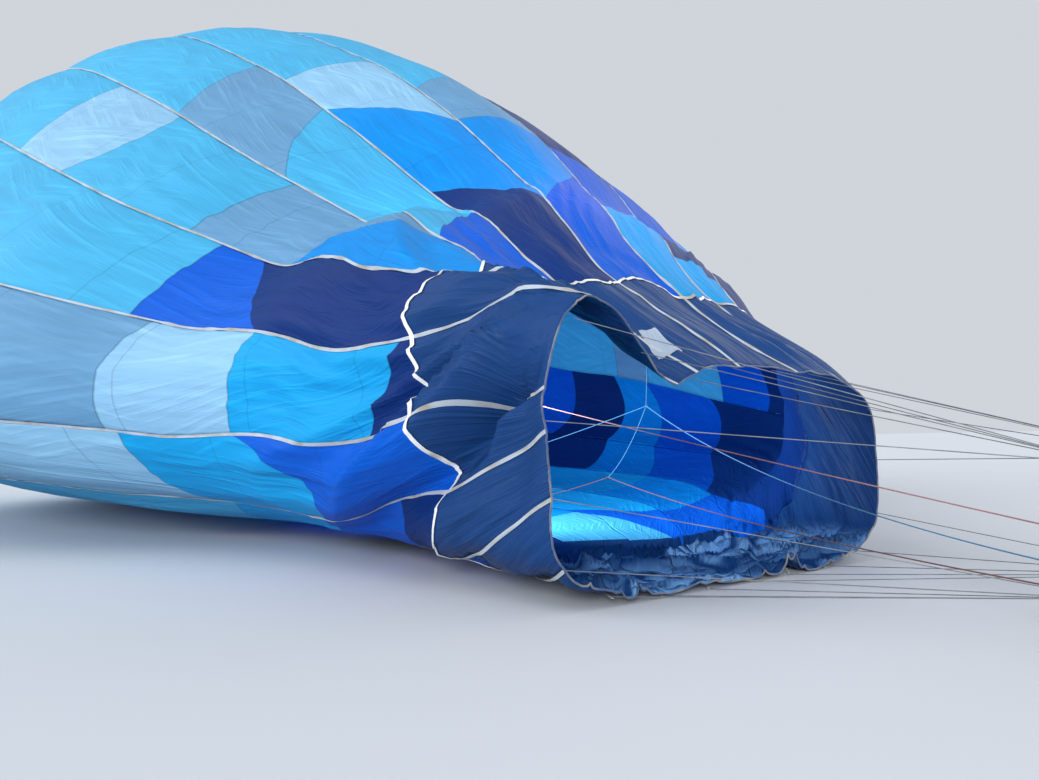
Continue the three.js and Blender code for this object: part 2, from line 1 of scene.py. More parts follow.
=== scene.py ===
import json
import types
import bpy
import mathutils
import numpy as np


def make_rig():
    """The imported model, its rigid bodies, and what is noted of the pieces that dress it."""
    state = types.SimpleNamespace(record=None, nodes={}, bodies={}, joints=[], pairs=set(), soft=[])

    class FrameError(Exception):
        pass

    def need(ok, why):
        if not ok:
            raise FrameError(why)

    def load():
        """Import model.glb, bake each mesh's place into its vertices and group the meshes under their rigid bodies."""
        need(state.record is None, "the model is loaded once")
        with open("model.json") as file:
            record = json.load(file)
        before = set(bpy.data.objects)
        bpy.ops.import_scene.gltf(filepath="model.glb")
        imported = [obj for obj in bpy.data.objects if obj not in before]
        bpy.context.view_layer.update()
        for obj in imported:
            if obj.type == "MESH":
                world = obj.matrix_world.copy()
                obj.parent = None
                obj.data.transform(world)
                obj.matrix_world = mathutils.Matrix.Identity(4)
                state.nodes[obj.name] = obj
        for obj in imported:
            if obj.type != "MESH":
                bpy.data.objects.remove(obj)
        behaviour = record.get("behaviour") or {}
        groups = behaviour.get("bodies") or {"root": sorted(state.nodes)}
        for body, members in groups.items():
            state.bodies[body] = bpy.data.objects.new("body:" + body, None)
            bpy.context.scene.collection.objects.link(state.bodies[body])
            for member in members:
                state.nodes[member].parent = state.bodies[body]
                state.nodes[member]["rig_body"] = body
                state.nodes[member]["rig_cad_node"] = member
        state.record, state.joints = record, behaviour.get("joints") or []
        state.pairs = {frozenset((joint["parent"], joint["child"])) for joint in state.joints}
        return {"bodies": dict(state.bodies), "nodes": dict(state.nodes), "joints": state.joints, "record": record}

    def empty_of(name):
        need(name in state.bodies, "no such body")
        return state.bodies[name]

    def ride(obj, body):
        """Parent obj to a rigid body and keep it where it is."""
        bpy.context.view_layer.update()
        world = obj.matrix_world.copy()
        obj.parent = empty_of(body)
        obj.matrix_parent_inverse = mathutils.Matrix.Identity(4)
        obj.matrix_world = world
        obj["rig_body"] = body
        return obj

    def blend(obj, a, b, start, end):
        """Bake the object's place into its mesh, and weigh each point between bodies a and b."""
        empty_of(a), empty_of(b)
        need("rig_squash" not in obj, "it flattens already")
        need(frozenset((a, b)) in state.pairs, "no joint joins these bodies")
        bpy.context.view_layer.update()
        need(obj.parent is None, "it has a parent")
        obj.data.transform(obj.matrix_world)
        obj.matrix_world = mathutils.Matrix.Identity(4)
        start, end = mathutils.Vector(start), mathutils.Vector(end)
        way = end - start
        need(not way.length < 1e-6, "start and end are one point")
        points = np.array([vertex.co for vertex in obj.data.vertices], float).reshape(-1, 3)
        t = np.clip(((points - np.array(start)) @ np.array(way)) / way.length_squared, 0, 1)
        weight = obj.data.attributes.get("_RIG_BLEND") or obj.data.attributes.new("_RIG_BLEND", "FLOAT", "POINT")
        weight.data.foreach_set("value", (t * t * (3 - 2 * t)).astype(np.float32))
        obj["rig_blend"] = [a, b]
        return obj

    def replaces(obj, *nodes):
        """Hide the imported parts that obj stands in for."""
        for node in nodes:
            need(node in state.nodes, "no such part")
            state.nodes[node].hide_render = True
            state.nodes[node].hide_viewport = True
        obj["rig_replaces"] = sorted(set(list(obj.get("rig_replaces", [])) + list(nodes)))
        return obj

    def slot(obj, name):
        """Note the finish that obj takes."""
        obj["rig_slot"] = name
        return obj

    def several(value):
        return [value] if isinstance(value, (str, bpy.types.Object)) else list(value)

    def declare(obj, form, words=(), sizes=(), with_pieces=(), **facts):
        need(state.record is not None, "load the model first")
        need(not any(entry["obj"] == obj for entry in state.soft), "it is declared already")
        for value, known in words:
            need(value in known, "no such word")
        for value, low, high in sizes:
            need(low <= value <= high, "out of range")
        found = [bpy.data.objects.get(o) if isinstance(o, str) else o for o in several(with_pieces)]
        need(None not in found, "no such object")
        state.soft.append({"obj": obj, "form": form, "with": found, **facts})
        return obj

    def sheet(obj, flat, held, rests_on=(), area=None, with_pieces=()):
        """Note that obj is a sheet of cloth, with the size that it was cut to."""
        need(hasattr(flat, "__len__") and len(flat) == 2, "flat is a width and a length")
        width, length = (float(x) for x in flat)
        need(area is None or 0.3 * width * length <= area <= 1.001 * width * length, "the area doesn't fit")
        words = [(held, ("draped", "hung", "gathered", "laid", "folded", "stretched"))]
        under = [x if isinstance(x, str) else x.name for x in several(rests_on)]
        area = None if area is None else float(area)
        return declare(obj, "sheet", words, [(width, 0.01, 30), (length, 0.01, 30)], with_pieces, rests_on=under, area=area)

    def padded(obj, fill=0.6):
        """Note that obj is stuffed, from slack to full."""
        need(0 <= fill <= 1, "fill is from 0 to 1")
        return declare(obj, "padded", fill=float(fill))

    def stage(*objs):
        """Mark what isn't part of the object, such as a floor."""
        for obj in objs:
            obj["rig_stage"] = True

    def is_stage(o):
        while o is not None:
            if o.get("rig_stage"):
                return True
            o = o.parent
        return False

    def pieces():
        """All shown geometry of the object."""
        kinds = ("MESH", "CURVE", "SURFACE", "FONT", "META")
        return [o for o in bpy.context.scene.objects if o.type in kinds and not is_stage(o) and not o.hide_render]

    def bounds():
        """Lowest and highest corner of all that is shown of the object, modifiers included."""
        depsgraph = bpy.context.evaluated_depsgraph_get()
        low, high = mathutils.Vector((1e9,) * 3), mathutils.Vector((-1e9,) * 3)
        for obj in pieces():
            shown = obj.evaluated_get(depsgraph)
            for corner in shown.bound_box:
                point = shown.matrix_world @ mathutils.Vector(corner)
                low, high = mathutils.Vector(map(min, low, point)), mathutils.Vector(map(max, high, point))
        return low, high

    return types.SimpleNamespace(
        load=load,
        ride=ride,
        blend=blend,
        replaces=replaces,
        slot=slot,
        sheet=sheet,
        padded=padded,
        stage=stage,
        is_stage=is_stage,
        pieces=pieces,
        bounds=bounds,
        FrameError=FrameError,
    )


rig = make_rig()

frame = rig.load()
cad_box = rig.bounds()

# Hot air balloon lying on its side while it fills with cold air. Metres, +Z up, the mouth faces +X.
# Distances along the envelope are counted from the mouth's edge towards the crown. Places round it are
# counted in gores from the middle of the underside, up the near flank, over the top and down the far flank.
import json
import math

import bmesh
import bpy
import numpy as np
from mathutils import Matrix, Vector

TAU = 2 * math.pi
FACING_X = (0, TAU / 4, 0)

# The body of all that moves with neither the gimbal, the burner nor the vent
BODY = "envelope_and_basket"

# Driving dimensions of the envelope, the same as the frame's
GORES = 20
BILLOW = 0.035
VALLEY = (8.4, 0.6)
RIDGE = (7.0, 0.9)
TWIST = 2.35
TWIST_REACH = 2.6
LENGTH = 18.7
SECTION_NAMES = ("near", "far", "under", "top", "belly", "low", "high", "valley", "ridge")
SECTIONS = (
    # distance, near flank, far flank, under, top, belly, low, high, valley, ridge
    (0.0, -1.95, 1.72, 0.0, 1.64, 0.47, 4.0, 4.0, 0.18, 0.42),
    (1.3, -2.30, 2.45, 0.0, 2.50, 0.45, 3.0, 2.6, 0.16, 0.25),
    (3.0, -2.80, 4.50, 0.0, 3.80, 0.41, 2.8, 1.85, 0.16, 0.12),
    (4.5, -3.60, 6.90, 0.0, 4.75, 0.38, 2.6, 1.3, 0.18, 0.06),
    (6.5, -5.50, 9.20, 0.0, 6.45, 0.29, 2.1, 1.4, 0.09, 0.0),
    (9.0, -6.30, 10.0, 0.0, 8.15, 0.22, 1.95, 1.6, 0.02, 0.0),
    (12.5, -6.70, 9.30, 0.0, 9.90, 0.22, 2.0, 1.8, 0.0, 0.0),
    (15.5, -5.75, 8.00, 0.0, 10.30, 0.30, 2.1, 1.95, 0.0, 0.0),
    (17.3, -4.10, 6.35, 0.5, 9.20, 0.44, 2.1, 2.0, 0.0, 0.0),
    (18.3, -1.90, 3.85, 1.7, 7.60, 0.5, 2.0, 2.0, 0.0, 0.0),
    (18.7, -0.75, 2.65, 2.9, 6.30, 0.5, 2.0, 2.0, 0.0, 0.0),
)
CLOTH_THICKNESS = 0.003
BELT = 1.25
LIP_REACH = 1.1
COLUMNS_PER_GORE = 28

# Colours of the cloth and the trim, as sRGB codes
COLOURS = {
    "slate": "1b467f",
    "navy": "103c88",
    "royal": "086fe8",
    "azure": "09a7f8",
    "cyan": "1cbcf8",
    "sky": "58cef6",
    "mist": "7fb8dd",
    "pale": "abe0fa",
}

# The coloured panels of each gore, from the mouth to the crown. Each holds its colour, how far it reaches at
# the gore's first seam and at its second, and, where the edge between them bows, how far. Beyond the last of
# them, sky goes on to the crown.
GORE_BANDS = {
    1: (("slate", 2.4, 2.7), ("sky", 5.2, 4.4), ("azure", 8.5, 8.5), ("cyan", 12, 11)),
    2: (("navy", 3.4, 2.4), ("cyan", 5.6, 6.4), ("sky", 9.5, 8.5), ("mist", 11, 11.5)),
    3: (("royal", 2.6, 3.6), ("navy", 4.0, 4.9), ("azure", 7.4, 6.6)),
    4: (("navy", 2.2, 1.9), ("royal", 3.6, 3.0), ("cyan", 5.4, 4.6)),
    5: (("royal", 2.9, 3.5, -0.5), ("cyan", 4.75, 4.75), ("pale", 7.6, 7.0)),
    6: (("navy", 1.75, 1.35), ("cyan", 3.5, 3.35), ("pale", 4.85, 4.75), ("mist", 6.4, 6.9)),
    7: (("navy", 3.35, 4.6), ("royal", 5.0, 5.1)),
    8: (("azure", 4.2, 2.3), ("mist", 5.5, 5.5), ("sky", 7.9, 7.9, -0.3), ("pale", 9.4, 9.8)),
    9: (("royal", 2.3, 3.4), ("sky", 5.65, 7.05), ("mist", 8.0, 9.05)),
    10: (("navy", 4.9, 3.1, 0.3), ("azure", 7.0, 6.0), ("pale", 8.2, 8.6)),
    11: (("royal", 3.1, 5.0), ("azure", 6.05, 6.05), ("mist", 7.2, 8.4)),
    12: (("cyan", 3.5, 3.5), ("royal", 5.9, 5.9), ("navy", 8.6, 7.8), ("azure", 10.4, 9.8)),
    13: (("cyan", 2.4, 2.4), ("navy", 4.6, 5.4), ("royal", 7.8, 7.0), ("azure", 9.8, 10.6),
         ("mist", 12, 11.6)),
    14: (("navy", 3.6, 3.6), ("royal", 5.4, 6.2), ("azure", 8.4, 7.6), ("sky", 11, 12), ("mist", 13, 13)),
    15: (("navy", 3.6, 4.6), ("royal", 6.8, 6.0), ("cyan", 8.2, 9.2)),
    16: (("navy", 7.0, 7.0), ("royal", 8.7, 8.7), ("sky", 10.9, 10.9), ("mist", 11.8, 11.8)),
    17: (("navy", 9.1, 7.6), ("royal", 11.0, 9.75), ("azure", 11.9, 11.3), ("navy", 13.2, 13.2),
         ("royal", 14.8, 14.2)),
    18: (("royal", 1.65, 4.4, -0.33), ("navy", 7.6, 5.0), ("royal", 9.75, 7.8), ("azure", 11.3, 10.0),
         ("navy", 13.4, 12.8), ("azure", 15, 14.4)),
    19: (("slate", 1.6, 2.0), ("royal", 4.55, 4.2), ("azure", 7.7, 7.25), ("cyan", 11.4, 10.6)),
    20: (("slate", 2.1, 2.3), ("sky", 1.5, 4.7), ("royal", 4.4, 5.6), ("cyan", 8.2, 8.8)),
}


# Meshes

def deselect():
    bpy.ops.object.select_all(action="DESELECT")


def pick(obj):
    deselect()
    obj.select_set(True)
    bpy.context.view_layer.objects.active = obj


def apply_modifiers(obj):
    pick(obj)
    for modifier in list(obj.modifiers):
        bpy.ops.object.modifier_apply(modifier=modifier.name)


def mesh_piece(name, points, faces, uv=None):
    """A piece from a list of points and faces. uv holds a pair for each point."""
    mesh = bpy.data.meshes.new(name)
    mesh.from_pydata([tuple(p) for p in points], [], [tuple(f) for f in faces])
    if uv is not None:
        layer = mesh.uv_layers.new(name="cloth")
        corners = np.empty(len(mesh.loops), dtype=np.int32)
        mesh.loops.foreach_get("vertex_index", corners)
        layer.data.foreach_set("uv", np.asarray(uv, dtype=np.float32)[corners].ravel())
    obj = bpy.data.objects.new(name, mesh)
    bpy.context.scene.collection.objects.link(obj)
    mesh.shade_smooth()
    return obj


def grid_piece(name, grid, uv=None, ring=False):
    """A sheet through a grid of points. With ring, the last column joins the first."""
    rows, columns = grid.shape[:2]
    across = columns if ring else columns - 1
    corner = np.arange(rows * columns).reshape(rows, columns)
    after = np.roll(corner, -1, axis=1)
    faces = np.stack([corner[:-1], after[:-1], after[1:], corner[1:]], axis=-1)[:, :across].reshape(-1, 4)
    return mesh_piece(name, grid.reshape(-1, 3), faces, None if uv is None else uv.reshape(-1, 2))


def thicken(obj, thickness, offset=-1.0):
    modifier = obj.modifiers.new("thickness", "SOLIDIFY")
    modifier.thickness = thickness
    modifier.offset = offset
    modifier.use_even_offset = False
    apply_modifiers(obj)
    obj.data.shade_smooth()
    return obj


def dress(obj, material, body=BODY, slot=None, node=None):
    """Gives a piece its one finish, the body that it rides on and the frame's node that it stands for."""
    obj.data.materials.clear()
    obj.data.materials.append(material)
    if slot:
        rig.slot(obj, slot)
    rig.ride(obj, body)
    if node:
        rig.replaces(obj, node)
    return obj


def length_along(path):
    return np.r_[0, np.cumsum(np.linalg.norm(np.diff(path, axis=0), axis=1))]


def pairs(one, two):
    """The pairs of a piece's map, from the values across it and along it."""
    return np.stack(np.broadcast_arrays(one, two), axis=-1)


def frames_along(path, ring=False):
    """Directions along a path, and a pair of axes across it that turn as little as they can."""
    path = np.asarray(path, dtype=float)
    along = (np.roll(path, -1, axis=0) - np.roll(path, 1, axis=0)) if ring else np.gradient(path, axis=0)
    along /= np.linalg.norm(along, axis=1, keepdims=True)
    side = np.cross(along[0], (0.0, 0.0, 1.0) if abs(along[0][2]) < 0.9 else (1.0, 0.0, 0.0))
    sides = []
    for direction in along:
        side = side - direction * (side @ direction)
        side /= np.linalg.norm(side)
        sides.append(side)
    sides = np.array(sides)
    return path, sides, np.cross(along, sides)


MAP_SHIFT = 0.37


def tubes_piece(name, paths, radius, sides=8, ring=False):
    """Round cords along paths, each closed at its ends by caps, or on itself with ring. Each cord's map
    starts further along than the last one's, so that no two look alike."""
    points, faces, maps = [], [], []
    angle = TAU * np.arange(sides) / sides
    for path in paths:
        path, side, up = frames_along(path, ring)
        radii = np.broadcast_to(np.asarray(radius, dtype=float), len(path))
        grid = path[:, None] + radii[:, None, None] * (
            side[:, None] * np.cos(angle)[None, :, None] + up[:, None] * np.sin(angle)[None, :, None])
        start = sum(len(part) for part in points)
        corner = start + np.arange(len(path) * sides).reshape(len(path), sides)
        after = np.roll(corner, -1, axis=1)
        rows = slice(None) if ring else slice(0, -1)
        next_corner, next_after = np.roll(corner, -1, axis=0), np.roll(after, -1, axis=0)
        quads = np.stack([corner[rows], after[rows], next_after[rows], next_corner[rows]], axis=-1)
        faces.extend(quads.reshape(-1, 4).tolist())
        if not ring:
            faces.append(corner[0][::-1].tolist())
            faces.append(corner[-1].tolist())
        length = len(maps) * MAP_SHIFT + length_along(path)
        points.append(grid.reshape(-1, 3))
        maps.append(pairs(np.arange(sides) / sides, length[:, None]).reshape(-1, 2))
    return mesh_piece(name, np.concatenate(points), faces, np.concatenate(maps))


def tube_piece(name, path, radius, sides=8, ring=False):
    return tubes_piece(name, [path], radius, sides, ring)


# Smooth noise and steps

LATTICE = np.random.default_rng(11).random((256, 256)) * 2 - 1


def wander(x, y=0.0):
    """Smooth noise from -1 to 1."""
    x, y = np.broadcast_arrays(np.asarray(x, dtype=float), np.asarray(y, dtype=float))
    column, row = np.floor(x).astype(int), np.floor(y).astype(int)
    s, t = x - column, y - row
    s, t = s * s * s * (s * (s * 6 - 15) + 10), t * t * t * (t * (t * 6 - 15) + 10)
    value = lambda i, j: LATTICE[(column + i) % 256, (row + j) % 256]
    low = value(0, 0) * (1 - s) + value(1, 0) * s
    high = value(0, 1) * (1 - s) + value(1, 1) * s
    return low * (1 - t) + high * t


def fade(value, start, end):
    """0 at start and 1 at end, smooth between them."""
    t = np.clip((value - start) / (end - start), 0, 1)
    return t * t * (3 - 2 * t)


# The envelope's surface

def smooth_columns(distance):
    """The section's values at each distance, on curves that never swing past the table's values."""
    table = np.array(SECTIONS)
    place, steps = table[:, 0], np.diff(table[:, 0])
    row = np.clip(np.searchsorted(place, distance, side="left") - 1, 0, len(place) - 2)
    t = (distance - place[row]) / steps[row]
    values = {}
    for name, column in zip(SECTION_NAMES, table[:, 1:].T):
        slope = np.diff(column) / steps
        before, after = slope[:-1], slope[1:]
        same_way = before * after > 0
        total = np.where(same_way, before + after, 1)
        middle = np.where(same_way, 2 * before * after / total, 0)
        tangent = np.r_[slope[0], middle, slope[-1]]
        start = column[row] * (1 + 2 * t) * (1 - t) ** 2 + tangent[row] * steps[row] * t * (1 - t) ** 2
        values[name] = (start + column[row + 1] * t * t * (3 - 2 * t)
                        + tangent[row + 1] * steps[row] * t * t * (t - 1))
    return values


STATION_STEP = 0.05
STATIONS = np.linspace(0, LENGTH, round(LENGTH / STATION_STEP) + 1)
SECTION = smooth_columns(STATIONS)
OUTLINE_STEPS = 240
OUTLINE_PLACES = 800


def outlines():
    """The girth at each station, and the outline's points spaced evenly round it."""
    angle = TAU * np.arange(OUTLINE_STEPS + 1) / OUTLINE_STEPS
    sine, cosine = np.sin(angle), np.cos(angle)
    girths, points = [], []
    for at in (dict(zip(SECTION, values)) for values in zip(*SECTION.values())):
        power = 2 / np.where(cosine > 0, at["low"], at["high"])
        bent = [np.sign(v) * np.abs(v) ** power for v in (sine, cosine)]
        widest = at["under"] + at["belly"] * (at["top"] - at["under"])
        reach = np.where(cosine > 0, widest - at["under"], at["top"] - widest)
        y = (at["near"] + at["far"]) / 2 - (at["far"] - at["near"]) / 2 * bent[0]
        z = widest - reach * bent[1]
        length = np.r_[0, np.cumsum(np.hypot(np.diff(y), np.diff(z)))]
        even = np.linspace(0, length[-1], OUTLINE_PLACES + 1)
        girths.append(length[-1])
        points.append(np.stack([np.interp(even, length, y), np.interp(even, length, z)], axis=-1))
    return np.array(girths), np.array(points)


GIRTHS, OUTLINES = outlines()


def outline_point(distance, place):
    """y and z of the bare outline at a distance from the mouth and a place round it."""
    row = np.clip(distance / STATION_STEP, 0, len(STATIONS) - 1.000001)
    column = (place % GORES) / GORES * OUTLINE_PLACES
    i, j = row.astype(int), column.astype(int)
    s, t = (row - i)[..., None], (column - j)[..., None]
    near = OUTLINES[i, j] * (1 - t) + OUTLINES[i, j + 1] * t
    far = OUTLINES[i + 1, j] * (1 - t) + OUTLINES[i + 1, j + 1] * t
    return near * (1 - s) + far * s


def gore_width(distance):
    return np.interp(distance, STATIONS, GIRTHS) / GORES


def section_value(name, distance):
    return np.interp(distance, STATIONS, SECTION[name])


# The mouth's edge is held up at one place, and the gores beside it are gathered
HELD_GORE = 5.45
HELD_PEAK = 0.10
GATHERS = (
    # amount, gore, spread, reach
    (1.9, 9.0, 2.4, 2.4),
    (0.75, 4.9, 1.0, 1.1),
)


def place_round(distance, gore):
    place = gore + TWIST * np.maximum(0, 1 - distance / TWIST_REACH) ** 2
    for amount, middle, spread, reach in GATHERS:
        swell = np.exp(-((gore % GORES - middle) / spread) ** 2)
        place = place - amount * swell * np.maximum(0, 1 - distance / reach) ** 2
    return place


# How far from the mouth's edge the belt tape lies at some places round the mouth
BELT_WAVES = (
    # gore, distance
    (0.0, 1.25), (1.2, 1.36), (2.1, 1.18), (2.7, 1.42), (3.35, 1.13), (3.9, 1.12), (4.3, 1.12), (4.7, 1.08),
    (5.3, 1.22), (5.9, 1.36), (6.5, 1.12), (7.2, 1.26), (8.3, 1.48), (9.1, 1.22), (9.8, 1.42), (10.6, 1.16),
    (11.4, 1.4), (12.3, 1.2), (13.4, 1.34), (14.5, 1.16), (15.6, 1.32), (16.8, 1.2), (18.0, 1.34),
    (19.1, 1.18), (20.0, 1.25),
)


def belt_distance(gore):
    """Where the white tape round the mouth panels lies. It hangs in loose waves."""
    places, distances = np.array(BELT_WAVES).T
    around = np.asarray(gore, dtype=float) % GORES
    row = np.clip(np.searchsorted(places, around, side="right") - 1, 0, len(places) - 2)
    share = fade((around - places[row]) / (places[row + 1] - places[row]), 0, 1)
    return distances[row] + (distances[row + 1] - distances[row]) * share


def envelope_point(distance, gore, relief=0.0):
    """Points of the envelope's outer face, moved outwards by relief."""
    distance, gore = np.broadcast_arrays(np.asarray(distance, dtype=float), np.asarray(gore, dtype=float))
    place = place_round(distance, gore)
    step = 0.15
    before, after = outline_point(distance, place - step), outline_point(distance, place + step)
    point = outline_point(distance, place)
    tangent = after - before
    tangent /= np.linalg.norm(tangent, axis=-1, keepdims=True)
    across = (gore + 0.5) % 1
    billow = BILLOW * gore_width(distance) * 4 * across * (1 - across)
    ridge = section_value("ridge", distance) * np.exp(-((place - RIDGE[0]) / RIDGE[1]) ** 2)
    valley = section_value("valley", distance) * np.exp(-((place - VALLEY[0]) / VALLEY[1]) ** 2)
    out = ridge - valley + billow + relief
    y = point[..., 0] - out * tangent[..., 1]
    z = np.maximum(0, point[..., 1] + out * tangent[..., 0])
    return np.stack([-distance, y, z], axis=-1)


# The near flap's great fold. Under its line the cloth falls back into the shade.
FLAP_FOLD = (
    # distance, gore
    (0.0, 5.3), (0.4, 5.1), (0.6, 4.66), (0.84, 4.4), (1.04, 4.24), (1.34, 4.1), (1.74, 3.96),
    (2.36, 3.72), (3.2, 3.4),
)


# How deep the cloth's folds are, in metres. Where two are given, the first fades towards the crown.
MOUTH_FOLDS = 0.07
LONG_FOLDS = (0.05, 0.006)
SHORT_FOLDS = (0.012, 0.003)
FOLDS_FADE = 4.5
RAYS = 0.17
PUCKERS = 0.008
PUCKER_REACH = 0.07
LEDGE_RISE = 0.13
LEDGE_SINK = 0.34


def wrinkles(distance, gore):
    """How far the cloth stands out of or sinks into the smooth surface: broad folds near the mouth, long and
    short ones between the tapes, rays from the held corner, puckers at the seams and the flap's fold."""
    across = (gore + 0.5) % 1
    number = np.floor(gore + 0.5)
    pinned = np.sqrt(np.clip(4 * across * (1 - across), 0, 1))
    slack = np.exp(-distance / FOLDS_FADE)
    near_mouth = 1 - fade(distance, 1.0, 3.5)
    broad = wander(gore * 2.6 + 1.5 * wander(distance * 0.8, gore * 0.7), distance * 0.5 + 7)
    narrow = wander(gore * 8.0 + 3.1 * wander(distance * 0.5, number), distance * 0.33 + 17 * number)
    short_folds = wander(gore * 17.0 + 2 * wander(distance, number + 50), distance * 0.9 + 31 * number)
    angle = np.arctan2(gore - HELD_GORE, distance + 0.05)
    radius = np.hypot(gore - HELD_GORE, distance)
    ray_strength = np.sqrt(radius + 0.02) * np.exp(-radius / 2.0)
    rays = (1 - 2 * np.abs(wander(angle * 4.2 + 20, radius * 0.4))) * 0.7
    rays = rays + 0.5 * wander(angle * 10.5 + 3, radius * 0.7)
    by_seam = np.exp(-across / PUCKER_REACH) + np.exp((across - 1) / PUCKER_REACH)
    puckers = wander(distance * 7.0, number * 3 + across * 2) * by_seam
    under = np.interp(distance, *np.array(FLAP_FOLD).T) - gore
    ledge = LEDGE_RISE * np.exp(-((under + 0.22) / 0.3) ** 2)
    ledge = ledge - LEDGE_SINK * np.exp(-((under - 0.42) / 0.36) ** 2)
    ledge *= 1 - fade(distance, 1.3, 3.2)
    long_folds = (1 - near_mouth) * pinned * (LONG_FOLDS[0] * slack + LONG_FOLDS[1]) * narrow
    mouth_folds = near_mouth * MOUTH_FOLDS * broad + long_folds
    fine_folds = pinned * (SHORT_FOLDS[0] * slack + SHORT_FOLDS[1]) * short_folds
    loose = fade(distance, -0.15, 0.45)
    return (mouth_folds + fine_folds + RAYS * rays * ray_strength + PUCKERS * puckers + ledge) * loose


# How high the folds, creases and small ridges of the cloth on the ground are, and how sharp
CRUMPLE = ((0.12, 5), (0.045, 3), (0.008, 2))


def crumple(x, y):
    """The ridges and creases of cloth that lies loose on the ground."""
    bent = x + 0.35 * wander(x * 1.7 + 5, y * 1.7)
    fold = 1 - np.abs(wander(bent * 2.3 + 9, y * 1.9 + 0.9 * wander(x * 2.1, y * 2.1 + 40)))
    crease = 1 - np.abs(wander(x * 5.3 + 60 + wander(x * 4, y * 4), y * 4.7 + 9))
    ridge = 1 - np.abs(wander(x * 11 + 3 + wander(x * 9, y * 9 + 70), y * 9.1))
    return sum(height * shape ** power for (height, power), shape in zip(CRUMPLE, (fold, crease, ridge)))


def cloth_point(distance, gore, above=0.0):
    """The cloth with its wrinkles. Where it lies on the ground it is crumpled instead, and what is above it
    there, such as a tape on its outer face, lies flat under it."""
    bare = envelope_point(distance, gore)
    lying = 1 - fade(bare[..., 2], 0.02, 0.35)
    relief = wrinkles(distance, gore) * (1 - lying)
    point = envelope_point(distance, gore, relief + above)
    lip = 1 - fade(distance, BELT, BELT + LIP_REACH)
    swell = 0.02 * (1 + wander(bare[..., 0] * 0.9, bare[..., 1] * 0.9))
    peak = HELD_PEAK * np.exp(-np.abs(gore - HELD_GORE) / 0.45) * np.exp(-distance / 0.45)
    rise = 0.008 + lip * crumple(bare[..., 0], bare[..., 1]) + (1 - lip) * swell
    point[..., 2] += peak + lying * np.where(above > 0, 0.0, rise)
    return point


def flat_cut(grid):
    """The width, length and area of the cloth in a grid of points."""
    across = np.linalg.norm(np.diff(grid, axis=1), axis=-1)
    along = np.linalg.norm(np.diff(grid, axis=0), axis=-1)
    one = np.cross(grid[1:, :-1] - grid[:-1, :-1], grid[:-1, 1:] - grid[:-1, :-1])
    two = np.cross(grid[1:, 1:] - grid[:-1, 1:], grid[1:, 1:] - grid[1:, :-1])
    area = (np.linalg.norm(one, axis=-1) + np.linalg.norm(two, axis=-1)).sum() / 2
    return across.sum(axis=1).max(), along.sum(axis=0).max(), area


# Materials

def linear(code):
    """A colour from its sRGB code."""
    channels = [int(code[i:i + 2], 16) / 255 for i in (0, 2, 4)]
    return tuple(c / 12.92 if c <= 0.04045 else ((c + 0.055) / 1.055) ** 2.4 for c in channels) + (1.0,)


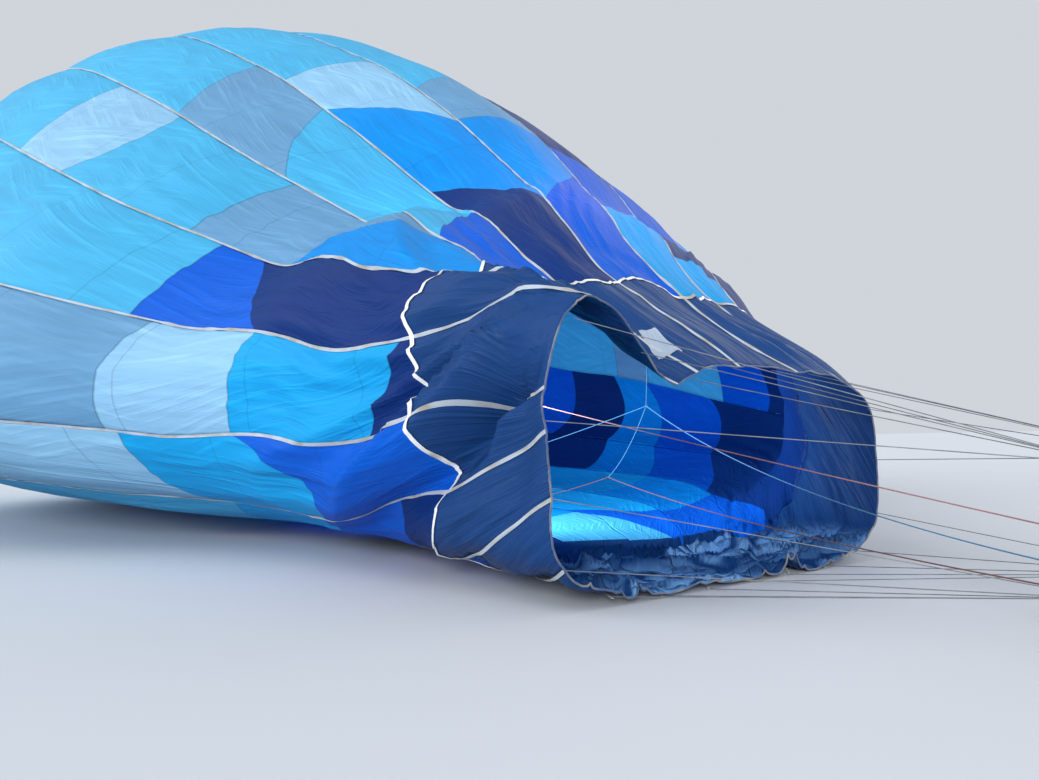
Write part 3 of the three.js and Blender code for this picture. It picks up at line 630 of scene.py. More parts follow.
class Finish:
    """A node material, with short calls for the nodes that these finishes share. A colour may be given as its
    sRGB code."""

    def __init__(self, name, **values):
        self.material = bpy.data.materials.new(name)
        self.material.use_nodes = True
        self.tree = self.material.node_tree
        self.shader = self.tree.nodes["Principled BSDF"]
        self.output = self.tree.nodes["Material Output"]
        for key, value in values.items():
            self.shader.inputs[key.replace("_", " ").title().replace("Ior", "IOR")].default_value = value

    def node(self, kind, inputs=(), **settings):
        node = self.tree.nodes.new(kind)
        for key, value in settings.items():
            setattr(node, key, value)
        for key, value in dict(inputs).items():
            self.put(node.inputs[key], value)
        return node

    def put(self, socket, value):
        if isinstance(value, bpy.types.NodeSocket):
            self.tree.links.new(value, socket)
        else:
            socket.default_value = linear(value) if isinstance(value, str) else value

    def math(self, operation, *values):
        node = self.node("ShaderNodeMath", operation=operation)
        for socket, value in zip(node.inputs, values):
            self.put(socket, value)
        return node.outputs[0]

    def times(self, one, two):
        return self.math("MULTIPLY", one, two)

    def scaled(self, value, factor, added):
        """The value times a factor, with something added."""
        return self.math("MULTIPLY_ADD", value, factor, added)

    def away(self, value, middle=0.5):
        """How far a value is from the middle."""
        return self.math("ABSOLUTE", self.math("SUBTRACT", value, middle))

    def between(self, value, low, high):
        """0 under low, 1 over high, and smooth between them."""
        inputs = {0: value, 1: low, 2: high}
        return self.node("ShaderNodeMapRange", inputs, interpolation_type="SMOOTHSTEP").outputs[0]

    def mix(self, factor, one, two, blend="MIX"):
        inputs = {0: factor, 6: one, 7: two}
        return self.node("ShaderNodeMix", inputs, data_type="RGBA", blend_type=blend).outputs[2]

    def tinted(self, colour, code):
        return self.mix(1.0, colour, code, "MULTIPLY")

    def object_place(self):
        return self.node("ShaderNodeTexCoord").outputs["Object"]

    def cloth_place(self):
        """The piece's own map, the place across the cloth and the distance along it."""
        uv = self.node("ShaderNodeUVMap", uv_map="cloth").outputs[0]
        parts = self.node("ShaderNodeSeparateXYZ", {0: uv})
        return uv, parts.outputs[0], parts.outputs[1]

    def stretched(self, place, scale):
        return self.node("ShaderNodeMapping", {"Vector": place, "Scale": scale}).outputs[0]

    def noise(self, place, scale, detail=2.0, roughness=0.5):
        inputs = {"Vector": place, "Scale": scale, "Detail": detail, "Roughness": roughness}
        return self.node("ShaderNodeTexNoise", inputs).outputs["Fac"]

    def slanted_folds(self, uv, angle, size, where):
        """Long folds that run aslant over a gore, let through only in some places. The gore's map is brought
        to metres first, turned by the angle and divided by the size."""
        metres = self.stretched(uv, (2.0, 1.0, 1.0))
        inputs = {"Vector": metres, "Rotation": (0, 0, angle), "Scale": size}
        aslant = self.node("ShaderNodeMapping", inputs, vector_type="TEXTURE").outputs[0]
        return self.times(self.between(self.noise(aslant, 1.0, 2, 0.45), 0.44, 0.74), where)

    def bump(self, height, distance, strength=1.0, normal=None):
        inputs = {"Height": height, "Distance": distance, "Strength": strength}
        if normal is not None:
            inputs["Normal"] = normal
        return self.node("ShaderNodeBump", inputs).outputs[0]

    def surface(self, colour, rough, span, least, relief=None):
        """Sets the colour, the roughness, which goes up from the least with rough, and the relief."""
        self.put(self.shader.inputs["Base Color"], colour)
        self.put(self.shader.inputs["Roughness"], self.scaled(rough, span, least))
        if relief is not None:
            self.put(self.shader.inputs["Normal"], relief)
        return self.material

    def shade_through(self, share, colour):
        """Lets light through the cloth."""
        through = self.node("ShaderNodeBsdfTranslucent", {"Color": colour})
        mixed = self.node("ShaderNodeMixShader", {0: share, 1: self.shader.outputs[0], 2: through.outputs[0]})
        self.put(self.output.inputs["Surface"], mixed.outputs[0])
        return self.material


# The height of a gore's panels, how far they shift from one gore to the next, the cloth's gloss, and how many
# radians the ribs of a webbing and the strands of a cord turn in a metre
PANEL_HEIGHT = 1.42
PANEL_SHIFT = 0.37
CLOTH_GLOSS = 0.14
RIBS = 900.0
BRAID = 420.0
DUST_COLOUR = "8f8a7c"


def cloth_finish(finish, base, uv, distance, shift, through=0.3, under=None):
    """The weave, crosswise seams, fine wrinkles, slanting folds, uneven dye and glow that all of the
    envelope's cloths share, with painted shade in the fine wrinkles and painted light along the slanting folds.
    shift moves the seams along by a share of a panel, and under is a relief beneath the others."""
    place = finish.object_place()
    uneven = finish.noise(place, 0.45, 5, 0.6)
    fine = finish.noise(finish.stretched(uv, (13.0, 0.9, 1.0)), 1.0, 3, 0.5)
    # Painted shade in the valleys of the fine wrinkles, mixed with uneven dye: where both are low, the colour is
    # darkened below.
    dye_and_wrinkle_shade = finish.between(finish.scaled(fine, 0.45, finish.times(uneven, 0.55)), 0.25, 0.75)
    from_seam = finish.away(finish.math("FRACT", finish.scaled(distance, 1 / PANEL_HEIGHT, shift)))
    seam = finish.between(from_seam, 0.006, 0.003)
    colour = finish.mix(dye_and_wrinkle_shade, finish.tinted(base, "dfe4ea"), base)
    colour = finish.mix(finish.times(seam, 0.22), colour, "1b3f77")
    here = finish.between(finish.noise(place, 0.9, 2), 0.42, 0.58)
    elsewhere = finish.math("SUBTRACT", 1.0, here)
    slants = finish.math("ADD", finish.slanted_folds(uv, 0.5, (0.11, 1.3, 1.0), here),
                         finish.slanted_folds(uv, -0.3, (0.09, 1.1, 1.0), elsewhere))
    # Painted light and shade: the cloth away from the slanting folds is darkened a little, so that the folds stand out
    # lighter.
    colour = finish.mix(slants, finish.tinted(colour, "ecf0f5"), colour)
    gathers = finish.noise(finish.stretched(uv, (46.0, 1.3, 1.0)), 1.0, 2)
    creased = finish.times(fine, finish.between(uneven, 0.3, 0.75))
    creased = finish.scaled(finish.times(gathers, finish.between(from_seam, 0.16, 0.0)), 0.25, creased)
    creased = finish.scaled(slants, 0.55, creased)
    folds = finish.bump(creased, 0.03, 0.5, under)
    stitched = finish.bump(seam, 0.002, 0.6, folds)
    weave = finish.noise(place, 900, 1)
    finish.surface(colour, fine, 0.25, 0.36, finish.bump(weave, 0.0004, 0.4, stitched))
    return finish.shade_through(through, colour)


def gore_cloth(name, bands, shift):
    """Coated nylon in a gore's coloured panels, with a darker felled seam where two panels meet."""
    finish = Finish(name, specular_ior_level=CLOTH_GLOSS)
    uv, across, distance = finish.cloth_place()
    bow = finish.times(finish.times(across, finish.math("SUBTRACT", 1.0, across)), 4.0)
    base = COLOURS[bands[0][0]]
    seam = 0.0
    for (_, first, second, *bows), (colour, *_) in zip(bands, (*bands[1:], ("sky",))):
        edge = finish.scaled(across, second - first, first)
        for depth in bows:
            edge = finish.scaled(bow, depth, edge)
        beyond = finish.math("SUBTRACT", distance, edge)
        base = finish.mix(finish.math("GREATER_THAN", beyond, 0.0), base, COLOURS[colour])
        seam = finish.math("MAXIMUM", seam, finish.between(finish.math("ABSOLUTE", beyond), 0.014, 0.006))
    base = finish.mix(finish.times(seam, 0.3), base, "0a2350")
    return cloth_finish(finish, base, uv, distance, shift)


def plain_cloth(name, code, through):
    finish = Finish(name, specular_ior_level=CLOTH_GLOSS)
    uv, _, distance = finish.cloth_place()
    return cloth_finish(finish, code, uv, distance, 0.1, through)


def flameproof_cloth(name, code, painted_light_code):
    """Slate cloth. Where it lies on the ground it is sharply creased, and the cloth between the creases is
    painted paler in patches as painted light, while the creases keep the darker colour as painted shade."""
    finish = Finish(name, specular_ior_level=CLOTH_GLOSS)
    uv, _, distance = finish.cloth_place()
    place = finish.object_place()
    height = finish.node("ShaderNodeSeparateXYZ", {0: place}).outputs[2]
    lying = finish.between(height, 0.3, 0.1)
    large, small = (finish.away(finish.noise(place, scale, 1, 0.4)) for scale in (1.5, 3.9))
    creases = finish.math("MINIMUM", large, finish.scaled(small, 1.2, 0.02))
    flat = finish.between(creases, 0.008, 0.05)
    # Painted light: where the cloth lies on the ground, the flat cloth between the creases is made paler in patches,
    # and the creases stay dark as painted shade.
    paler_patches = finish.times(flat, finish.between(finish.noise(place, 0.8, 3), 0.35, 0.6))
    base = finish.mix(finish.times(lying, paler_patches), code, painted_light_code)
    under = finish.bump(finish.times(lying, creases), 0.4, 0.7)
    return cloth_finish(finish, base, uv, distance, 0.1, 0.08, under)


def braided_cord(name, code):
    """Braided cord: two sets of strands that wind round it, with painted shade in the grooves between them."""
    finish = Finish(name, sheen_weight=0.2)
    _, across, distance = finish.cloth_place()
    around = finish.times(across, TAU * 4)
    one, two = (finish.math("SINE", finish.scaled(distance, winds, around)) for winds in (BRAID, -BRAID))
    braid = finish.times(one, two)
    dust = finish.noise(finish.object_place(), 5, 3)
    # Painted shade: the grooves between the strands are darkened.
    tone = finish.mix(finish.between(braid, -0.6, 0.8), finish.tinted(code, "8f8f8f"), code)
    colour = finish.mix(finish.times(dust, 0.25), tone, DUST_COLOUR)
    return finish.surface(colour, dust, 0.2, 0.6, finish.bump(braid, 0.0008, 0.6))


def webbing(name, code):
    """Woven polyester tape with ribs across it and dust in the weave."""
    finish = Finish(name, sheen_weight=0.3)
    _, _, distance = finish.cloth_place()
    dust = finish.noise(finish.object_place(), 4.0, 4)
    ribs = finish.math("SINE", finish.times(distance, RIBS))
    colour = finish.mix(finish.between(dust, 0.4, 0.75), code, DUST_COLOUR)
    return finish.surface(colour, dust, 0.2, 0.6, finish.bump(ribs, 0.0006, 0.5))


# Camera, floor and lights

CAMERA_PLACE = Vector((4.05, -5.08, 1.12))
CAMERA_AZIMUTH = math.radians(54.5)
CAMERA_PITCH = math.radians(3.5)
CAMERA_ROLL = math.radians(-1.0)
FOCAL_PIXELS = 804
FRAME_PIXELS = 1039


def add_camera():
    data = bpy.data.cameras.new("camera")
    data.sensor_width = 36
    data.lens = FOCAL_PIXELS / FRAME_PIXELS * data.sensor_width
    camera = bpy.data.objects.new("camera", data)
    forward = Vector((-math.sin(CAMERA_AZIMUTH) * math.cos(CAMERA_PITCH),
                      math.cos(CAMERA_AZIMUTH) * math.cos(CAMERA_PITCH), math.sin(CAMERA_PITCH)))
    level = Vector((math.cos(CAMERA_AZIMUTH), math.sin(CAMERA_AZIMUTH), 0))
    above = level.cross(forward)
    right = level * math.cos(CAMERA_ROLL) + above * math.sin(CAMERA_ROLL)
    up = above * math.cos(CAMERA_ROLL) - level * math.sin(CAMERA_ROLL)
    turn = Matrix((right, up, -forward)).transposed().to_4x4()
    camera.matrix_world = Matrix.Translation(CAMERA_PLACE) @ turn
    bpy.context.scene.collection.objects.link(camera)
    bpy.context.scene.camera = camera


def add_light(kind, name, place, target, power, size):
    """A soft light. size is a lamp's width, or a distant light's angle in degrees."""
    data = bpy.data.lights.new(name, kind)
    data.energy = power
    if kind == "SUN":
        data.angle = math.radians(size)
    else:
        data.size = size
    light = bpy.data.objects.new(name, data)
    light.visible_camera = False
    light.location = place
    light.rotation_euler = (Vector(target) - Vector(place)).to_track_quat("-Z", "Y").to_euler()
    bpy.context.scene.collection.objects.link(light)


def add_stage():
    """The pale floor, the soft sky and the studio lights."""
    floor = Finish("pale_floor", roughness=1.0, specular_ior_level=0.0)
    spread = floor.noise(floor.object_place(), 0.3, 2)
    floor.put(floor.shader.inputs["Base Color"], floor.mix(floor.times(spread, 0.4), "cdd1d6", "c3c8ce"))
    bpy.ops.mesh.primitive_circle_add(vertices=128, radius=2000, fill_type="NGON", location=(-7, 1, -0.004))
    plane = bpy.context.object
    plane.name = "floor"
    plane.data.materials.append(floor.material)
    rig.stage(plane)
    world = bpy.data.worlds.new("soft_sky")
    world.use_nodes = True
    world.node_tree.nodes["Background"].inputs[0].default_value = linear("e3e8ef")
    world.node_tree.nodes["Background"].inputs[1].default_value = 0.82
    bpy.context.scene.world = world
    bpy.context.scene.view_settings.view_transform = "Standard"
    add_light("SUN", "key", (13, -14, 8.5), (-3, 1, 2), 2.2, 18)
    add_light("SUN", "left", (-14, -18, 17), (-6, 1, 2), 1.3, 60)
    add_light("SUN", "back", (-16, 22, 12), (-9, 1, 3), 0.7, 60)
    add_light("AREA", "inside", (-4.4, -0.9, 2.3), (-8.0, 7.0, 2.6), 680, 2.4)


# The envelope's pieces

def row_distances(start):
    """Rows of a gore from its wavy start to the vent's rim, closer together near the mouth."""
    steps = np.r_[np.linspace(0, 0.27, 64, endpoint=False), np.linspace(0.27, 1, 82)]
    return start[None, :] + (LENGTH - start)[None, :] * steps[:, None]


def clad(piece, material, node):
    """Makes a piece of the envelope's cloth of the sheet of points that stands for a node."""
    thicken(piece, CLOTH_THICKNESS)
    dress(piece, material, node=node)


def declare_sheet(piece, grid, **more):
    width, length, area = flat_cut(grid)
    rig.sheet(piece, flat=(width, length), held="stretched", area=min(area, width * length), **more)


def add_gore(number):
    """A gore's cloth, with the tape on its second seam."""
    across = np.linspace(0, 1, COLUMNS_PER_GORE + 1)
    gore = number - 1.5 + across
    distance = row_distances(belt_distance(gore))
    grid = cloth_point(distance, np.broadcast_to(gore, distance.shape))
    piece = grid_piece(f"gore_cloth_{number:02d}", grid, pairs(across, distance))
    shift = number * PANEL_SHIFT % 1
    clad(piece, gore_cloth(f"gore_nylon_{number:02d}", GORE_BANDS[number], shift), f"gore_{number:02d}")
    declare_sheet(piece, grid, with_pieces=[add_load_tape(number)])


TAPE_WIDTH = 0.029
BELT_TAPE_WIDTH = 0.033
TAPE_THICKNESS = 0.003
TAPE_LIFT = 0.004
BELT_TAPE_LIFT = 0.010
HEM_R = 0.007
HEM_LIFT = 0.009


def tape_piece(name, distance, gore, step, lift):
    """A tape on the cloth. distance and gore give its middle line, and step the way across it."""
    offsets = np.linspace(-0.5, 0.5, 3)
    rows = [cloth_point(distance + step[0] * s, gore + step[1] * s, lift) for s in offsets]
    grid = np.stack(rows, axis=1)
    piece = grid_piece(name, grid, pairs(offsets, length_along(grid[:, 1])[:, None]))
    return smoothed(thicken(piece, TAPE_THICKNESS, 1.0))


def add_load_tape(number):
    """The tape on the seam between this gore and the next one, from the mouth to the vent's rim."""
    distance = np.r_[np.linspace(0.0, 5, 120, endpoint=False), np.linspace(5, LENGTH, 120)]
    gore = np.full_like(distance, number - 0.5)
    sideways = envelope_point(distance, gore + 0.05) - envelope_point(distance, gore - 0.05)
    across = 0.1 * TAPE_WIDTH / np.linalg.norm(sideways, axis=-1)
    tape = tape_piece(f"load_tape_{number:02d}", distance, gore, (0.0, across), TAPE_LIFT)
    return dress(tape, LOAD_WEBBING)


GORES_PER_MOUTH_PANEL = 4


def add_mouth_panel(number):
    """A flameproof panel between the mouth's hem and the belt tape."""
    first = number * GORES_PER_MOUTH_PANEL - 6.5
    gore = first + np.linspace(0, GORES_PER_MOUTH_PANEL, GORES_PER_MOUTH_PANEL * COLUMNS_PER_GORE + 1)
    distance = belt_distance(gore)[None, :] * np.linspace(0, 1, 30)[:, None]
    grid = cloth_point(distance, np.broadcast_to(gore, distance.shape))
    piece = grid_piece(f"mouth_cloth_{number}", grid, pairs(gore - first, distance))
    clad(piece, SLATE_CLOTH, f"mouth_panel_{number}")
    declare_sheet(piece, grid)


def add_belt_tape():
    gore = np.linspace(0, GORES, GORES * COLUMNS_PER_GORE + 1) - 0.5
    tape = tape_piece("belt_tape", belt_distance(gore), gore, (BELT_TAPE_WIDTH, 0.0), BELT_TAPE_LIFT)
    dress(tape, WHITE_WEBBING)


def add_mouth_hem():
    gore = np.linspace(0, GORES, 900, endpoint=False)
    path = cloth_point(np.full_like(gore, 0.0), gore)
    path[:, 2] = np.maximum(path[:, 2], HEM_LIFT)
    dress(tube_piece("mouth_hem", path, HEM_R, 8, ring=True), HEM_WEBBING)


# Pieces modelled from primitives

def primitive(kind, **settings):
    """A primitive at its size and place, with that place in its mesh."""
    deselect()
    getattr(bpy.ops.mesh, f"primitive_{kind}_add")(**settings)
    obj = bpy.context.object
    pick(obj)
    bpy.ops.object.transform_apply(location=True, rotation=True, scale=True)
    return obj


def block(size, place):
    return primitive("cube", size=1, scale=size, location=place)


def rod(start, end, radius, sides=24):
    start, end = Vector(start), Vector(end)
    turn = (end - start).to_track_quat("Z", "Y").to_euler()
    return primitive("cylinder", vertices=sides, radius=radius, depth=(end - start).length,
                     location=(start + end) / 2, rotation=turn)


def select_in(obj, kind, test):
    """Enters edit mode with only the faces, edges or points selected that pass the test."""
    pick(obj)
    bpy.ops.object.mode_set(mode="EDIT")
    bpy.ops.mesh.select_mode(type=kind)
    bpy.ops.mesh.select_all(action="DESELECT")
    work = bmesh.from_edit_mesh(obj.data)
    for item in {"FACE": work.faces, "EDGE": work.edges, "VERT": work.verts}[kind]:
        item.select_set(bool(test(item)))
    work.select_flush_mode()
    bmesh.update_edit_mesh(obj.data)


def leave_edit():
    bpy.ops.object.mode_set(mode="OBJECT")


def bevelled(obj, width, segments=2, angle=30):
    modifier = obj.modifiers.new("bevel", "BEVEL")
    modifier.width = width
    modifier.segments = segments
    modifier.limit_method = "ANGLE"
    modifier.angle_limit = math.radians(angle)
    apply_modifiers(obj)
    return obj


def drilled(obj, *cutters):
    """Cuts the cutters out of a piece and removes them."""
    for cutter in cutters:
        modifier = obj.modifiers.new("hole", "BOOLEAN")
        modifier.operation = "DIFFERENCE"
        modifier.solver = "EXACT"
        modifier.object = cutter
        apply_modifiers(obj)
        bpy.data.objects.remove(cutter)
    return obj


def hoop(major_radius, minor_radius, steps, sides, place, turn=(0, 0, 0)):
    """A ring of round section."""
    return primitive("torus", major_radius=major_radius, minor_radius=minor_radius, major_segments=steps,
                     minor_segments=sides, location=place, rotation=turn)


def turned(profile, steps=48, place=(0, 0, 0)):
    """A round piece about an upright axis, spun from radius and height pairs that start and end on the axis,
    or that close on themselves."""
    edges = [(i, i + 1) for i in range(len(profile) - 1)]
    mesh = bpy.data.meshes.new("profile")
    mesh.from_pydata([(r, 0, h) for r, h in profile], edges, [])
    obj = bpy.data.objects.new("profile", mesh)
    bpy.context.scene.collection.objects.link(obj)
    pick(obj)
    bpy.ops.object.mode_set(mode="EDIT")
    bpy.ops.mesh.select_all(action="SELECT")
    bpy.ops.mesh.spin(steps=steps, angle=TAU, center=(0, 0, 0), axis=(0, 0, 1))
    bpy.ops.mesh.select_all(action="SELECT")
    bpy.ops.mesh.remove_doubles(threshold=0.00005)
    bpy.ops.mesh.normals_make_consistent(inside=False)
    leave_edit()
    mesh.transform(Matrix.Translation(place))
    return obj


def joined(name, parts):
    """Several parts as one piece."""
    deselect()
    for part in parts:
        part.select_set(True)
    bpy.context.view_layer.objects.active = parts[0]
    if len(parts) > 1:
        bpy.ops.object.join()
    obj = bpy.context.view_layer.objects.active
    obj.name = obj.data.name = name
    return obj


def smoothed(obj, angle=35):
    pick(obj)
    bpy.ops.object.shade_smooth_by_angle(angle=math.radians(angle))
    return obj


# The basket lies on its long side. Its pieces are modelled upright, from the underside of its skids, and
# laid down.

BASKET_FLOOR_X = 4.7
BASKET_Y = 0.15
BASKET_DEPTH = 1.15
BASKET_WIDTH = 1.5
WALL = 0.024
SKID = 0.03
FLOOR = 0.018
RIM_Z = 1.11
RIM_R = 0.042
RIM_CORNER = 0.09
PLAY = 0.0003
WALL_BOTTOM = SKID + FLOOR + PLAY
WALL_TOP = RIM_Z - RIM_R - PLAY
FOOTHOLE = (0.17, 0.11)
FOOTHOLE_Z = WALL_BOTTOM + 0.43
FOOTHOLE_TRIM_R = 0.0115
LOAD_Z = 2.06
LOAD_DEPTH = 0.76
LOAD_WIDTH = 1.06
SOCKET_INSET = (0.07, 0.03)
SOCKET_DEPTH = 0.095
LEATHER_THICKNESS = 0.003
SCUFF_THICKNESS = 0.0035
SCUFF_FOOT = 0.006
SCUFF_TOP = 0.15
EDGE_TO_STITCHES = 0.012
LAID = (Matrix.Translation((BASKET_FLOOR_X, BASKET_Y, BASKET_DEPTH / 2 + RIM_R))
        @ Matrix.Rotation(-TAU / 4, 4, "Y"))
LONG_SIDES = (("low", -1), ("top", 1))
CORNERS = ((-1, -1, "low_near"), (-1, 1, "low_far"), (1, 1, "top_far"), (1, -1, "top_near"))


def laid(obj, material, body=BODY, slot=None, node=None):
    """Lays an upright piece down with the basket, and dresses it."""
    obj.data.transform(LAID)
    return dress(obj, material, body, slot, node)


def fitted(name, parts, material, body=BODY, slot=None, node=None, angle=35):
    """Several parts of the basket or the burner as one piece, smooth between its sharp edges."""
    return laid(smoothed(joined(name, parts), angle), material, body, slot, node)


def rounded_ring(depth, width, corner, z, steps=8):
    path = []
    for sx, sy, start in ((1, 1, 0), (-1, 1, 90), (-1, -1, 180), (1, -1, 270)):
        for angle in np.radians(start + np.linspace(0, 90, steps + 1)):
            path.append((sx * (depth / 2 - corner) + corner * math.cos(angle),
                         sy * (width / 2 - corner) + corner * math.sin(angle), z))
    return np.array(path)


def evenly(path, step, ring=False):
    """The same path with its points a step apart."""
    path = np.asarray(path, dtype=float)
    if ring:
        path = np.concatenate([path, path[:1]])
    length = length_along(path)
    count = max(2, round(length[-1] / step) + 1)
    even = np.linspace(0, length[-1], count)
    even_path = np.stack([np.interp(even, length, path[:, axis]) for axis in range(3)], axis=-1)
    return even_path[:-1] if ring else even_path


def stitches(name, path, pitch=0.012, share=0.62, radius=0.0012):
    """A row of short threads along a path."""
    dots = evenly(path, pitch / 2)
    threads = []
    for start, end in zip(dots[::2], dots[1::2]):
        middle = (start + end) / 2
        half = (end - start) * share
        threads.append([middle - half, middle, middle + half])
    return tubes_piece(name, threads, radius, 5)


STAKE_PITCH = 0.05
STAKE_R = 0.0045
STRAND_PITCH = 0.0120
STRAND_R = 0.0076
WEAVE_SWING = 0.0046


def woven_wall(name, length, holed, place):
    """Willow strands woven over and under upright stakes. place gives the wall's points from those along it,
    out of it and up."""
    hole_y, hole_z = FOOTHOLE[0] / 2, FOOTHOLE[1] / 2
    strands = []
    rows = np.arange(WALL_BOTTOM + 0.008, WALL_TOP - 0.004, STRAND_PITCH)
    for row, z in enumerate(rows):
        gaps = [(-length / 2, length / 2)]
        if holed and abs(z - FOOTHOLE_Z) < hole_z:
            gaps = [(-length / 2, -hole_y), (hole_y, length / 2)]
        for start, end in gaps:
            along = np.linspace(start, end, max(3, round((end - start) / STAKE_PITCH * 3)))
            swing = WEAVE_SWING * np.cos(math.pi * (along / STAKE_PITCH + row))
            strands.append(place(along, swing, np.full_like(along, z) + 0.0006 * np.sin(along * 23 + row)))
    stakes = []
    for along in np.arange(-length / 2 + STAKE_PITCH / 2, length / 2, STAKE_PITCH):
        spans = [(WALL_BOTTOM, WALL_TOP)]
        if holed and abs(along) < hole_y:
            spans = [(WALL_BOTTOM, FOOTHOLE_Z - hole_z), (FOOTHOLE_Z + hole_z, WALL_TOP)]
        for low, high in spans:
            z = np.linspace(low, high, 4)
            stakes.append(place(np.full_like(z, along), np.zeros_like(z), z))
    parts = [tubes_piece("strands", strands, STRAND_R, 5), tubes_piece("stakes", stakes, STAKE_R, 6)]
    laid(joined(f"woven_{name}_wall", parts), WICKER, slot="wicker", node=f"wall_{name}")


def add_walls():
    for name, side in LONG_SIDES:
        x = side * (BASKET_DEPTH - WALL) / 2
        place = lambda along, out, z, x=x: np.stack([x + out, along, z], axis=-1)
        woven_wall(name, BASKET_WIDTH - 0.01, True, place)
    for name, side in (("near", -1), ("far", 1)):
        y = side * (BASKET_WIDTH - WALL) / 2
        place = lambda along, out, z, y=y: np.stack([along, y + out, z], axis=-1)
        woven_wall(name, BASKET_DEPTH - 2 * WALL - 0.004, False, place)


def add_foothole_trim():
    """Leather sewn round both holes for feet in the long walls."""
    for name, side in LONG_SIDES:
        x = side * (BASKET_DEPTH - WALL) / 2
        ring = rounded_ring(FOOTHOLE[1] + 0.004, FOOTHOLE[0] + 0.004, 0.03, 0.0)
        path = np.stack([np.full(len(ring), x), ring[:, 1], FOOTHOLE_Z + ring[:, 0]], axis=-1)
        trim = tube_piece(f"foothole_{name}_trim", path, FOOTHOLE_TRIM_R, 10, ring=True)
        laid(trim, LEATHER, slot="red_leather")


def raised(outline, heights):
    """A grid of points from an outline's x and y at each height, and its map."""
    rows = [np.stack([outline[:, 0], outline[:, 1], np.full(len(outline), z)], axis=-1) for z in heights]
    return np.stack(rows), pairs(np.arange(len(outline)) * 0.03, heights[:, None])


def add_corner_leather():
    """Leather wrapped round the basket's four corners from the floor to the rim, with a row of stitches on
    either edge."""
    reach, bend, proud = 0.12, 0.02, 0.0015
    z = np.linspace(WALL_BOTTOM + 0.002, WALL_TOP - 0.004, 24)
    turn = np.radians(np.linspace(0, 90, 7))
    for sx, sy, name in CORNERS:
        x, y = sx * BASKET_DEPTH / 2, sy * BASKET_WIDTH / 2
        arc = np.stack([x - sx * bend * (1 - np.cos(turn)), y - sy * bend * (1 - np.sin(turn))], axis=-1)
        outline = np.concatenate([[(x, y - sy * reach)], arc, [(x - sx * reach, y)]])
        outline += np.array([sx, sy]) * proud
        grid, uv = raised(outline, z)
        grid[..., :2] += 0.001 * wander(grid[..., 2:] * 9 + sx, grid[..., 1:2] * 30 + sy)
        guard = grid_piece(f"corner_leather_{name}", grid, uv)
        thicken(guard, LEATHER_THICKNESS, 1.0 if sx * sy > 0 else -1.0)
        rows = []
        for edge, next_in, out in ((0, 1, (sx, 0)), (-1, -2, (0, sy))):
            inward = outline[next_in] - outline[edge]
            line = outline[edge] + inward / np.linalg.norm(inward) * EDGE_TO_STITCHES
            line = line + np.array(out) * (LEATHER_THICKNESS - 0.0002)
            rows.append(stitches("thread", [(*line, z[0] + 0.01), (*line, z[-1] - 0.01)]))
        threads = joined(f"corner_stitches_{name}", rows)
        laid(guard, LEATHER, slot="red_leather")
        laid(threads, THREAD)


def add_scuff_leather():
    """The leather band round the foot of the walls that takes the knocks on landing, sewn along its top."""
    low, high = SKID + SCUFF_FOOT, SKID + SCUFF_TOP
    ring = evenly(rounded_ring(BASKET_DEPTH + 0.007, BASKET_WIDTH + 0.007, 0.024, 0.0, 5), 0.03, ring=True)
    grid, uv = raised(ring, np.linspace(low, high, 8))
    grid[-1, :, 2] += 0.002 * wander(ring[:, 0] * 11, ring[:, 1] * 11)
    band = grid_piece("scuff_leather", grid, uv, ring=True)
    thicken(band, SCUFF_THICKNESS, -1.0)
    laid(band, LEATHER, slot="red_leather")
    path = ring * (1.0012, 1.0012, 1.0)
    path[:, 2] = high - EDGE_TO_STITCHES
    laid(stitches("scuff_stitches", np.concatenate([path, path[:1]]), 0.014), THREAD)


RIM_TIES = 36
LACING_R = 0.0032


def add_rim():
    """The padded rim: foam under laced leather, pinched a little at each tie."""
    ring = evenly(rounded_ring(BASKET_DEPTH - WALL, BASKET_WIDTH - WALL, RIM_CORNER, RIM_Z), 0.02, ring=True)
    count = len(ring)
    phase = np.arange(count) / count * RIM_TIES
    pinch = np.exp(-((np.abs(phase % 1 - 0.5) - 0.5) / 0.09) ** 2)
    radius = RIM_R * (1.0 - 0.07 * pinch) + 0.0012 * wander(np.arange(count) * 0.31)
    pad = tube_piece("rim_padding", ring, radius, 20, ring=True)
    laid(pad, LEATHER, slot="red_leather", node="rim_pad")
    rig.padded(pad, 0.8)
    angle = np.radians(np.arange(0, 360, 24))[:, None]
    path, side, up = frames_along(ring, ring=True)
    lacing = []
    for tie in range(RIM_TIES):
        at = round(tie / RIM_TIES * count) % count
        lacing.append(path[at] + RIM_R * 0.955 * (side[at] * np.cos(angle) + up[at] * np.sin(angle)))
    laid(tubes_piece("rim_lacing", lacing, LACING_R, 6, ring=True), DARK_LEATHER, slot="red_leather")


UPRIGHT_R = 0.034
ZIP_R = 0.0035
UPRIGHT_STRAPS = (0.07, 0.93)
UPRIGHT_STRAP_WIDTH = 0.028


def socket_place(sx, sy):
    """Where an upright ends in the load frame."""
    return sx * (LOAD_DEPTH / 2 - SOCKET_INSET[0]), sy * (LOAD_WIDTH / 2 - SOCKET_INSET[1])


